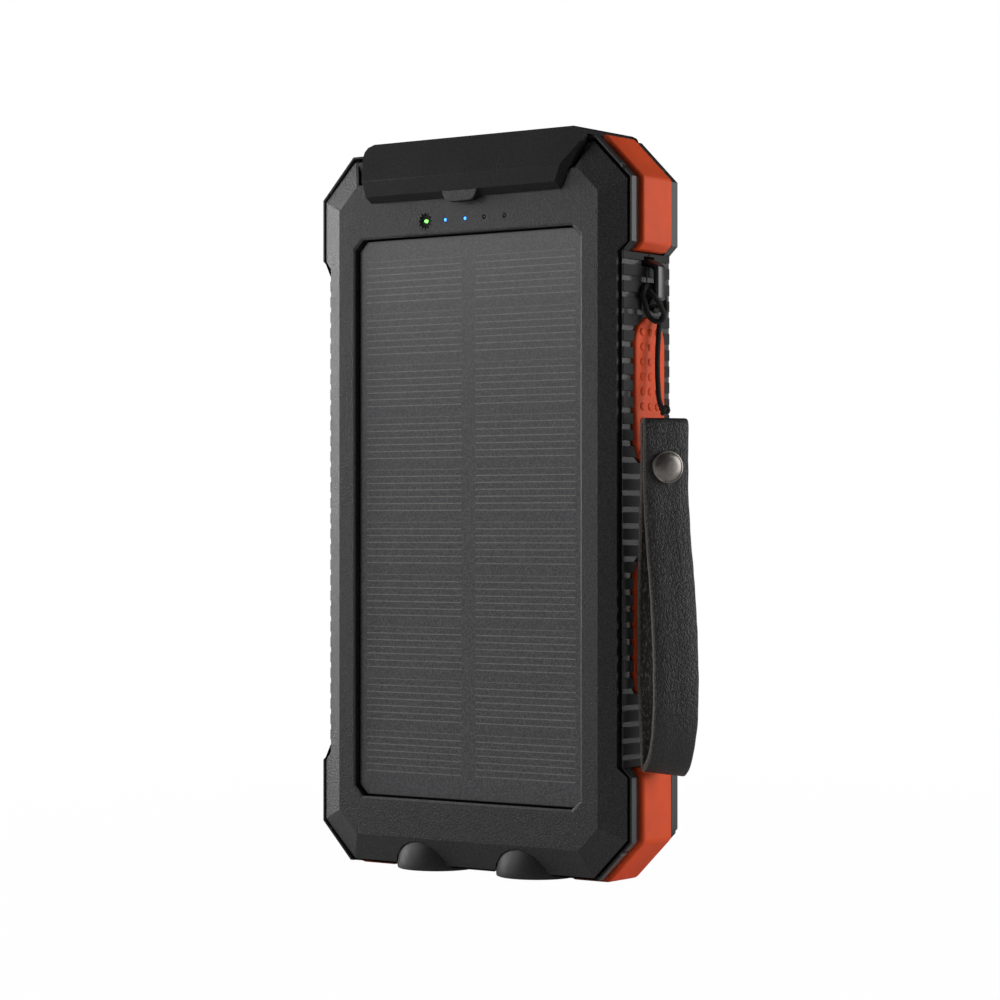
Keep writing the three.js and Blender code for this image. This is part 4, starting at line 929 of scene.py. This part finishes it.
class StrapOperator(Operator):
    """Makes the folded leather strap and its rivet"""
    bl_idname = "powerbank.strap"
    bl_label = "Strap and Rivet"

    def execute(self, context):
        look = context.scene.bank_strap
        thick = look.thickness / MM
        half = look.width / MM / 2
        outer = smooth_line([(u * STRAP_BULGE, -v * STRAP_LENGTH, 0) for u, v in STRAP_LINE],
                            STRAP_STEPS, closed=True)
        rings = []
        for i, point in enumerate(outer):
            ahead = (outer[(i + 1) % STRAP_STEPS] - outer[i - 1]).normalized()
            inward = Vector((ahead.y, -ahead.x, 0))
            rings.append(self.section(point, inward, thick, half, i / STRAP_STEPS))
        form = bmesh.new()
        skinned(form, rings, closed=True)
        bmesh.ops.recalc_face_normals(form, faces=form.faces)
        piece = finished(form, "leather_strap", ["leather", "suede", "cut_leather"], "housing",
                         "wrist_strap", 50)
        for polygon in piece.data.polygons:
            polygon.material_index = self.side_of(polygon, outer, thick, half)
        self.rivet("rivet_cap", "rivet_dome", 1, RIVET_DOME)
        self.rivet("rivet_back", "rivet_washer", -1, RIVET_WASHER)
        return {"FINISHED"}

    @staticmethod
    def section(point, inward, thick, half, share):
        """A rounded bar's outline: the grain side first, then an edge, the inside, an edge."""
        wave = sum(reach * math.sin(share * math.tau * count) for reach, count in STRAP_WAVES)
        corner = [(half * STRAP_MIDDLE_SHARE, 0), (half - STRAP_SOFT, 0),
                  (half - STRAP_NICK[0], STRAP_NICK[1]), (half, STRAP_SOFT)]
        right = corner + [(w, thick - h) for w, h in corner[::-1]]
        left = [(-w, h) for w, h in right[::-1]]
        places = []
        for w, h in left[-2:] + right + left[:-2]:
            edge = wave if abs(w) > half - STRAP_SOFT * 1.5 else 0
            flat = point + inward * h
            foot = min(max((-flat.y - FOOT_START) / FOOT_SPAN, 0), 1)
            places.append(strap_spot(flat.x + FOOT_ACROSS * w * foot,
                                     flat.y + FOOT_DROP * w * foot, w + math.copysign(edge, w)))
        return places

    @staticmethod
    def side_of(polygon, outer, thick, half):
        """0 for the grain side, 1 for the flesh side, 2 for the cut edges."""
        middle = polygon.center - strap_spot(0, 0)
        if abs(middle.dot(ALONG) / MM) > half - CUT_DEPTH:
            return 2
        flat = Vector((middle.dot(ACROSS) / MM, middle.z / MM, 0))
        nearest = min((flat - point).length for point in outer)
        return 0 if nearest < thick / 2 else 1

    @staticmethod
    def rivet(node, name, sign, profile):
        centre = strap_spot(sign * (RIVET_FACE + RIVET_PROUD), -RIVET_DROP)
        place = facing(ACROSS * sign, centre) @ Matrix.Scale(MM, 4)
        form = bmesh.new()
        turned(form, profile, place, RIVET_STEPS)
        finished(form, name, ["rivet"], "housing", node, 40)


# An edge shorter than this isn't rounded. The window's rim is round the glass and near the face.
LONG_EDGE = 1.2 * MM
RIM_NEAR, RIM_FACE = 1.0 * MM, 0.4 * MM

# The cover screws, as radius and height over their heads: the outline, then the socket's half
# width across its flats and the heights of its mouth and floor.
SCREW_PROFILE = ((0.8, -13.3), (0.8, -1.0), (1.5, -1.0), (1.6, -0.85), (1.6, -0.3), (1.45, -0.08),
                 (1.2, 0), (0.98, 0))
SOCKET_HALF = 0.78
SOCKET_HEIGHTS = (-0.06, -0.6)
SCREW_STEPS = 24


class CoverOperator(Operator):
    """Dresses the front cover, the rear cover and the screws in it"""
    bl_idname = "powerbank.covers"
    bl_label = "Covers"

    def execute(self, context):
        width = context.scene.bank_housing.edge
        for node, keep in (("front_cover", self.outer), ("rear_cover", self.large)):
            form = rounded(copied(node), width, 3, keep=keep)
            finished(form, f"{node}_shell", ["shell"], "housing", node, 30, flat=2 * MM2)
        for corner in ("lower_left", "lower_right", "upper_left", "upper_right"):
            self.screw(f"cover_screw_{corner}", f"socket_screw_{corner}")
        return {"FINISHED"}

    @staticmethod
    def large(edge):
        """Whether an edge is long."""
        return edge.calc_length() > LONG_EDGE

    @classmethod
    def outer(cls, edge):
        """Whether an edge is long and away from the window's rim, which has its own chamfer."""
        low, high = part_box("solar_panel")
        rim = all(low.x - RIM_NEAR < vert.co.x < high.x + RIM_NEAR
                  and low.z - RIM_NEAR < vert.co.z < high.z + RIM_NEAR
                  and vert.co.y < COVER_LOW.y + RIM_FACE for vert in edge.verts)
        return cls.large(edge) and not rim

    @classmethod
    def screw(cls, node, name):
        centre = middle_of(node)
        head = Vector((centre.x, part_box(node)[1].y, centre.z))
        place = facing((0, 1, 0), head) @ Matrix.Scale(MM, 4)
        rings = [cls.ring(place, radius, height) for radius, height in SCREW_PROFILE]
        rings += [cls.ring(place, SOCKET_HALF, height, True) for height in SOCKET_HEIGHTS]
        form = bmesh.new()
        skinned(form, rings)
        bmesh.ops.recalc_face_normals(form, faces=form.faces)
        finished(form, name, ["dark_steel"], "housing", node, 40)

    @staticmethod
    def ring(place, radius, height, six_sided=False):
        """Points of a circle, or of a hexagon with this half width across its flats."""
        points = []
        for k in range(SCREW_STEPS):
            angle = math.tau * k / SCREW_STEPS
            turn = (angle + math.pi / 6) % (math.pi / 3) - math.pi / 6
            reach = radius / math.cos(turn) if six_sided else radius
            points.append(place @ Vector((reach * math.cos(angle), reach * math.sin(angle),
                                          height)))
        return points


# In the drawing's millimetres, for the front frame's left side: where its wings and rib ends start,
# how deep the rib ends reach from the front, and how far both are drawn in.
WING_SIDE, RIB_SIDE, RIB_DEPTH = -36.3, -35.4, 1.2
WING_IN, RIB_IN = 0.4, 0.5

# Edges of the frames are rounded where they are long and further out than these places.
FRAME_SIDE, FRAME_HEAD, FRAME_FOOT = 34.9 * MM, 139.5 * MM, 1.5 * MM
FRAME_EDGE = 0.45 * MM


class FrameOperator(Operator):
    """Gives the ribbed frame halves and the seals their finish"""
    bl_idname = "powerbank.frames"
    bl_label = "Frames and Seals"

    def execute(self, context):
        width = context.scene.bank_housing.frame_edge
        for node in ("front_frame", "rear_frame"):
            form = copied(node)
            if node == "front_frame":
                self.draw_in(form)
            form = rounded(form, width, 2, 30, keep=self.outside)
            piece = finished(form, f"ribbed_{node}", ["frame", "ribs"], "housing", node,
                             40, flat=0.8 * MM2)
            for polygon in piece.data.polygons:
                if abs(polygon.center.x - ZERO.x) < WAIST_HALF:
                    polygon.material_index = 1
        for node in ("front_seal", "rear_seal", "flap_seal"):
            carry(node, "seal")
        return {"FINISHED"}

    @staticmethod
    def draw_in(form):
        """Draws in the left wings and the front ends of the left ribs."""
        front = min(vert.co.y for vert in form.verts)
        for vert in form.verts:
            across = (vert.co.x - ZERO.x) / MM
            if across < WING_SIDE:
                vert.co.x += WING_IN * MM
            elif across < RIB_SIDE and vert.co.y < front + RIB_DEPTH * MM:
                vert.co.x += RIB_IN * MM

    @staticmethod
    def outside(edge):
        """Long edges on the frame's outer sides, away from the seams of its halves."""
        middle = (edge.verts[0].co + edge.verts[1].co) / 2
        far = (abs(middle.x - ZERO.x) > FRAME_SIDE or middle.z > FRAME_HEAD
               or middle.z < FRAME_FOOT)
        return far and edge.calc_length() > FRAME_EDGE


def carry(node, slot):
    """A CAD node stays as it is, in its own finish."""
    slots = NODES[node].data.materials
    slots.clear()
    slots.append(finish_of(slot))


class BumperOperator(Operator):
    """Makes the red corner bumpers with rounded edges"""
    bl_idname = "powerbank.bumpers"
    bl_label = "Bumpers"

    def execute(self, context):
        width = context.scene.bank_housing.rubber_edge
        for end in ("top", "bottom"):
            for side in ("left", "right"):
                node = f"bumper_{end}_{side}"
                form = rounded(copied(node), width, 4, 20)
                finished(form, f"corner_bumper_{end}_{side}", ["red_rubber"], "housing", node,
                         40, flat=4 * MM2)
        return {"FINISHED"}


# In the drawing's millimetres. The button and inlays are long slots, with their outline's radius
# and how far out it lies: the crowned face, its rim, the inlays' back, and the button's flange with
# its nub, a profile of radius and height.
PAD_STRAIGHT = 9
PAD_RADIUS = 5.0
PAD_CROWN = [(4.93, 35.84), (4.74, 35.98), (4.4, 36.08), (3.9, 36.14), (3.2, 36.18), (2.4, 36.2),
             (1.5, 36.21), (0.6, 36.215)]
PAD_RIM = 35.66
INLAY_BACK = 33.05
FLANGE_RADIUS, FLANGE_BACK, FLANGE_FRONT = 5.6, 30.1, 31.3
NUB = [(0, -0.1), (1.4, -0.1), (1.4, 0.4), (1.3, 0.5), (0, 0.5)]
NUB_STEPS = 24

# The raised dots: rows and columns, their pitch up and across, the columns' shift and the place of
# their middles, and each dot's half sizes.
DOT_ROWS, DOT_COLUMNS = 9, 3
DOT_UP, DOT_ACROSS = 2.8, 2.46
DOT_SHIFT, DOT_OUT = -0.45, 36.12
DOT_SIZE = (0.36, 0.9, 0.85)


class ButtonOperator(Operator):
    """Makes the power button and the three grip inlays with their raised dots"""
    bl_idname = "powerbank.buttons"
    bl_label = "Button and Inlays"

    def execute(self, context):
        self.pad("power_button", "dotted_power_button", 1, "button", [
            (FLANGE_RADIUS, FLANGE_BACK), (FLANGE_RADIUS, FLANGE_FRONT),
            (PAD_RADIUS, FLANGE_FRONT)])
        for place, side in (("right", 1), ("left_upper", -1), ("left_lower", -1)):
            self.pad(f"grip_inlay_{place}", f"dotted_inlay_{place}", side, "housing",
                     [(PAD_RADIUS, INLAY_BACK)])
        return {"FINISHED"}

    def pad(self, node, name, side, body, foot):
        middle = middle_of(node)

        def level(out):
            return Vector((spot(side * out, 0, 0).x, middle.y, middle.z))

        form = bmesh.new()
        skinned(form, [obround_ring(level(out), side, radius * MM, PAD_STRAIGHT * MM)
                       for radius, out in foot + [(PAD_RADIUS, PAD_RIM)] + PAD_CROWN])
        if body == "button":
            nub = facing((-side, 0, 0), level(FLANGE_BACK))
            turned(form, NUB, nub @ Matrix.Scale(MM, 4), NUB_STEPS)
        for row in range(DOT_ROWS):
            for column in range(DOT_COLUMNS):
                centre = level(DOT_OUT)
                centre.y += ((column - 1) * DOT_ACROSS + DOT_SHIFT) * MM
                centre.z += (row - DOT_ROWS // 2) * DOT_UP * MM
                place = Matrix.Translation(centre) @ Matrix.Diagonal((*DOT_SIZE, 1))
                bmesh.ops.create_icosphere(form, subdivisions=2, radius=MM, matrix=place)
        bmesh.ops.recalc_face_normals(form, faces=form.faces)
        finished(form, name, ["red_rubber"], body, node, 60)


LUG_EDGE = 0.5 * MM


class LugOperator(Operator):
    """Makes the glossy staple that holds the cord"""
    bl_idname = "powerbank.lug"
    bl_label = "Strap Lug"

    def execute(self, context):
        form = rounded(copied("strap_lug"), LUG_EDGE, 3, 20)
        finished(form, "gloss_strap_lug", ["lug"], "housing", "strap_lug", 45)
        return {"FINISHED"}


# In the drawing's millimetres. The flap's lower strip ends this far over its lowest point. Over
# that line, the flap's left end is drawn out by so much at so many heights, the strip's upper edge
# lies at STRIP_HIGH and is lowered, and the tab under it is narrowed.
LIP = 0.95
STRIP_HIGH, STRIP_DROP = 1.47, 0.22
LEFT_END = -20
LEFT_STEPS = ((0, 1.05), (STRIP_HIGH, 0.95), (4.66, 0.7), (7.0, 0.25), (9.4, 0))
TAB_HALF, TAB_DEPTH, TAB_SHARE = 4.4, 1.0, 0.1
SLACK = 0.01

# The tab's plate: half of its outline, across and over the strip's line, its depths and rounding.
PLATE_SIDE = [(4.22, 1.22), (4.12, 0.8), (3.85, 0.15), (3.45, -0.4), (2.95, -0.78), (2.3, -0.93)]
PLATE_DEPTHS = (0.8, -0.2)
PLATE_EDGE = 0.14 * MM

# Edges of the flap are rounded where they are longer than this.
FLAP_EDGE = 1.0 * MM


class FlapOperator(Operator):
    """Makes the rubber flap over the ports, and gives its pin a finish"""
    bl_idname = "powerbank.flap"
    bl_label = "Port Flap"

    def execute(self, context):
        form = copied("port_flap")
        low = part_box("port_flap")[0]
        lip = low.z + LIP * MM
        for vert in form.verts:
            self.fit(vert.co, low.y, lip)
        rounded(form, context.scene.bank_housing.flap_edge, 3, 10, keep=self.outside)
        finished(form, "rubber_port_flap", ["flap_rubber"], "flap", "port_flap", 35,
                 flat=1.5 * MM2)
        self.tab(low.y, lip)
        carry("flap_hinge_pin", "steel")
        return {"FINISHED"}

    @staticmethod
    def fit(place, front, lip):
        """Draws the left end outwards at its foot, lowers the strip's edge, narrows the tab."""
        across = (place.x - ZERO.x) / MM
        above = (place.z - lip) / MM
        if across < LEFT_END:
            for (low, first), (high, last) in zip(LEFT_STEPS, LEFT_STEPS[1:]):
                if low - SLACK <= above < high:
                    place.x -= (first + (last - first) * (above - low) / (high - low)) * MM
        if abs(above - STRIP_HIGH) < 2 * SLACK and place.y < front + 2 * SLACK * MM:
            place.z -= STRIP_DROP * MM
        if abs(across) < TAB_HALF and above < 5 * SLACK and place.y < front + TAB_DEPTH * MM:
            place.x -= TAB_SHARE * across * MM

    @staticmethod
    def tab(front, lip):
        """A grained plate on the pull tab, proud of the strip."""
        line = PLATE_SIDE + [(-x, z) for x, z in PLATE_SIDE[::-1]]
        form = bmesh.new()
        skinned(form, [[Vector((ZERO.x + x * MM, front + y * MM, lip + z * MM)) for x, z in line]
                       for y in PLATE_DEPTHS])
        bmesh.ops.recalc_face_normals(form, faces=form.faces)
        rounded(form, PLATE_EDGE, 3, 24)
        finished(form, "grained_pull_tab", ["shell"], "flap", flat=1.5 * MM2)

    @staticmethod
    def outside(edge):
        return edge.calc_length() > FLAP_EDGE


GLASS_EDGE = 0.1 * MM


class PanelOperator(Operator):
    """Makes the solar panel with eased edges"""
    bl_idname = "powerbank.panel"
    bl_label = "Solar Panel"

    def execute(self, context):
        form = rounded(copied("solar_panel"), GLASS_EDGE, 2, 20)
        finished(form, "solar_glass", ["panel"], "housing", "solar_panel", 30,
                 flat=4 * MM2)
        return {"FINISHED"}


# The small lights, in order from the sun mark, and their profile in millimetres.
LIGHTS = ("light_green", "light_blue", "light_blue", "light_off", "light_off")
LIGHT_PROFILE = [(0, -5.9), (0.32, -5.9), (0.32, -0.1), (0.26, 0.0), (0.14, 0.06), (0, 0.08)]
LIGHT_STEPS = 24


class IndicatorOperator(Operator):
    """Makes the small lights of the mark row"""
    bl_idname = "powerbank.indicators"
    bl_label = "Indicator Lights"

    def execute(self, context):
        for i, slot in enumerate(LIGHTS, 1):
            node = f"indicator_light_{i}"
            centre = middle_of(node)
            centre.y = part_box(node)[0].y
            form = bmesh.new()
            turned(form, LIGHT_PROFILE, facing((0, -1, 0), centre) @ Matrix.Scale(MM, 4),
                   LIGHT_STEPS)
            finished(form, f"light_pipe_{i}", [slot], "housing", node, 40)
        return {"FINISHED"}


# The torch's turned profiles, as radius and height over the floor in millimetres: the foot, the
# crown where dome and bowl meet, the bowl and the foot's inside. The dome is a part of an ellipse
# with these half sizes, between these angles. The last profile is the lens.
TORCH_FOOT = [(6.5, 0.35), (6.6, 0.12), (6.8, 0), (7.55, 0), (7.8, 0.12)]
DOME_HALF, DOME_HEIGHT, DOME_ANGLES, DOME_STEPS = 7.9, 10.4, (3, 76), 22
TORCH_CROWN = [(1.9, 10.09)]
TORCH_BOWL = [(1.9, 7.6), (3.1, 6.9), (4.2, 5.8), (5.0, 4.5), (5.55, 3.2), (5.8, 2.3), (6.5, 2.3)]
LENS_PROFILE = [
    (0, 0.75), (2.0, 0.78), (4.0, 0.82), (6.0, 0.8), (6.2, 0.95), (6.2, 1.85), (6.05, 2.0),
    (4.0, 2.0), (3.9, 1.9), (2.6, 1.9), (2.5, 2.0), (0, 2.0)]
TORCH_STEPS, LENS_STEPS = 96, 72


class TorchOperator(Operator):
    """Makes the two torches with their bowls, lenses and light chips"""
    bl_idname = "powerbank.torches"
    bl_label = "Torches"

    def execute(self, context):
        start, end = DOME_ANGLES
        dome = []
        for i in range(DOME_STEPS + 1):
            angle = math.radians(start + (end - start) * i / DOME_STEPS)
            dome.append((DOME_HALF * math.cos(angle), DOME_HEIGHT * math.sin(angle)))
        profile = TORCH_FOOT + dome + TORCH_CROWN + TORCH_BOWL
        for side in ("left", "right"):
            centre = middle_of(f"torch_barrel_{side}")
            centre.z = 0
            place = Matrix.Translation(centre) @ Matrix.Scale(MM, 4)
            form = bmesh.new()
            turned(form, profile, place, TORCH_STEPS, closed=True)
            finished(form, f"torch_dome_{side}", ["reflector"], "housing", f"torch_barrel_{side}",
                     35)
            form = bmesh.new()
            turned(form, LENS_PROFILE, place, LENS_STEPS)
            finished(form, f"torch_glass_{side}", ["lens"], "housing", f"torch_lens_{side}",
                     35)
            carry(f"torch_led_{side}", "torch_led")
        return {"FINISHED"}


class InsideOperator(Operator):
    """Gives the ports, boards, battery and cables inside their finishes"""
    bl_idname = "powerbank.inside"
    bl_label = "Inside Parts"

    def execute(self, context):
        for row in frame["record"]["subparts"]:
            node = NODES[row["node"]]
            if not node.hide_render and not self.dressed(node):
                carry(row["node"], row["material_slot"])
        return {"FINISHED"}

    @staticmethod
    def dressed(node):
        """Whether a CAD node already has one of these finishes."""
        return any(m and m.name in {k.name for k in KEPT.values()} for m in node.data.materials)


# The lamps: name, place, goal, width, height in metres, and the setting that holds the power.
LAMPS = (
    ("left_strip", (-0.70, -0.06, 0.19), (0.0, 0.0, 0.08), 0.30, 0.30, "strip"),
    ("front_left_soft", (-0.53, -0.63, 0.44), (0.0, 0.0, 0.08), 0.5, 0.56, "key"),
    ("right_soft", (0.64, 0.38, 0.21), (0.03, 0.0, 0.07), 0.6, 0.55, "fill"),
)
FLOOR_HALF = 4.0

# How far from the middle the floor starts and ends to turn from nearly white to white, and how much
# of that white is seen in mirroring pieces and through clear ones.
WHITE_FROM, WHITE_TO = (0.12, 0.985), (0.4, 1.0)
MIRRORED_SHARE, CLEAR_SHARE = 0.25, 0.6


class StageOperator(Operator):
    """Makes the pale floor, the soft lamps and the plain surroundings"""
    bl_idname = "powerbank.stage"
    bl_label = "Stage"

    def execute(self, context):
        look = context.scene.bank_stage
        self.floor(look)
        for name, place, goal, wide, high, power in LAMPS:
            self.lamp(name, place, goal, wide, high, getattr(look, power))
        self.air(context, look)
        context.scene.view_settings.view_transform = "Standard"
        return {"FINISHED"}

    @staticmethod
    def floor(look):
        """A floor that the camera sees as white, but for the object's shadow."""
        form = bmesh.new()
        bmesh.ops.create_grid(form, x_segments=4, y_segments=4, size=FLOOR_HALF)
        mesh = bpy.data.meshes.new("pale_floor")
        form.to_mesh(mesh)
        form.free()
        finish = Finish("pale_floor", look.floor, 0.9)
        seen, glossy, through = [
            finish.node("ShaderNodeLightPath", {}, (), f"Is {ray} Ray")
            for ray in ("Camera", "Glossy", "Transmission")]
        glow = finish.node("ShaderNodeEmission", {}, {"Color": (1, 1, 1, 1), "Strength": 1.0})
        x, y = finish.axes()[:2]
        (near, dim), (far, white) = WHITE_FROM, WHITE_TO
        away = (x * x + y * y).math("SQRT").ramp(near, far, dim, white)
        share = seen * away + glossy * MIRRORED_SHARE + through * CLEAR_SHARE
        plain = Signal(finish, finish.shader.outputs[0])
        mixed = finish.node("ShaderNodeMixShader", {}, (share.math("MINIMUM", 1.0), plain, glow))
        output = finish.tree.nodes["Material Output"]
        finish.tree.links.new(mixed.socket, output.inputs["Surface"])
        mesh.materials.append(finish.material)
        floor = bpy.data.objects.new("pale_floor", mesh)
        bpy.context.scene.collection.objects.link(floor)

    @staticmethod
    def lamp(name, place, goal, wide, high, power):
        data = bpy.data.lights.new(name, "AREA")
        data.shape = "RECTANGLE"
        data.size = wide
        data.size_y = high
        data.energy = power
        lamp = bpy.data.objects.new(name, data)
        bpy.context.scene.collection.objects.link(lamp)
        lamp.location = place
        aim = Vector(goal) - Vector(place)
        lamp.rotation_euler = aim.to_track_quat("-Z", "Y").to_euler()

    @staticmethod
    def air(context, look):
        """Soft light all round, seen as white by the camera alone."""
        world = bpy.data.worlds.new("studio_air")
        context.scene.world = world
        world.use_nodes = True
        tree = world.node_tree
        path = tree.nodes.new("ShaderNodeLightPath")
        soft = tree.nodes["Background"]
        white = tree.nodes.new("ShaderNodeBackground")
        for background, strength in ((soft, look.air), (white, 1.0)):
            background.inputs["Color"].default_value = (1, 1, 1, 1)
            background.inputs["Strength"].default_value = strength
        mix = tree.nodes.new("ShaderNodeMixShader")
        sources = (path.outputs["Is Camera Ray"], soft.outputs[0], white.outputs[0])
        for source, socket in zip(sources, mix.inputs):
            tree.links.new(source, socket)
        tree.links.new(mix.outputs[0], tree.nodes["World Output"].inputs["Surface"])


OPERATORS = [
    CameraOperator, CordOperator, StrapOperator, CoverOperator, FrameOperator, BumperOperator,
    ButtonOperator, LugOperator, FlapOperator, PanelOperator, IndicatorOperator, TorchOperator,
    InsideOperator, StageOperator,
]


class BankPanel(Panel):
    """Lists the pieces of the power bank"""
    bl_idname = "VIEW3D_PT_power_bank"
    bl_label = "Power Bank"
    bl_space_type = "VIEW_3D"
    bl_region_type = "UI"
    bl_category = "Power Bank"

    def draw(self, context):
        for operator in OPERATORS:
            self.layout.operator(operator.bl_idname)
        for name, group in SETTINGS.items():
            box = self.layout.box()
            for key in group.__annotations__:
                box.prop(getattr(context.scene, name), key)


def register():
    for group in SETTINGS.values():
        bpy.utils.register_class(group)
    for name, group in SETTINGS.items():
        setattr(bpy.types.Scene, name, PointerProperty(type=group))
    for operator in OPERATORS:
        bpy.utils.register_class(operator)
    bpy.utils.register_class(BankPanel)


def unregister():
    bpy.utils.unregister_class(BankPanel)
    for operator in reversed(OPERATORS):
        bpy.utils.unregister_class(operator)
    for name in SETTINGS:
        delattr(bpy.types.Scene, name)
    for group in reversed(SETTINGS.values()):
        bpy.utils.unregister_class(group)


def main():
    register()
    for operator in OPERATORS:
        family, name = operator.bl_idname.split(".")
        getattr(getattr(bpy.ops, family), name)()


if __name__ == "__main__":
    main()
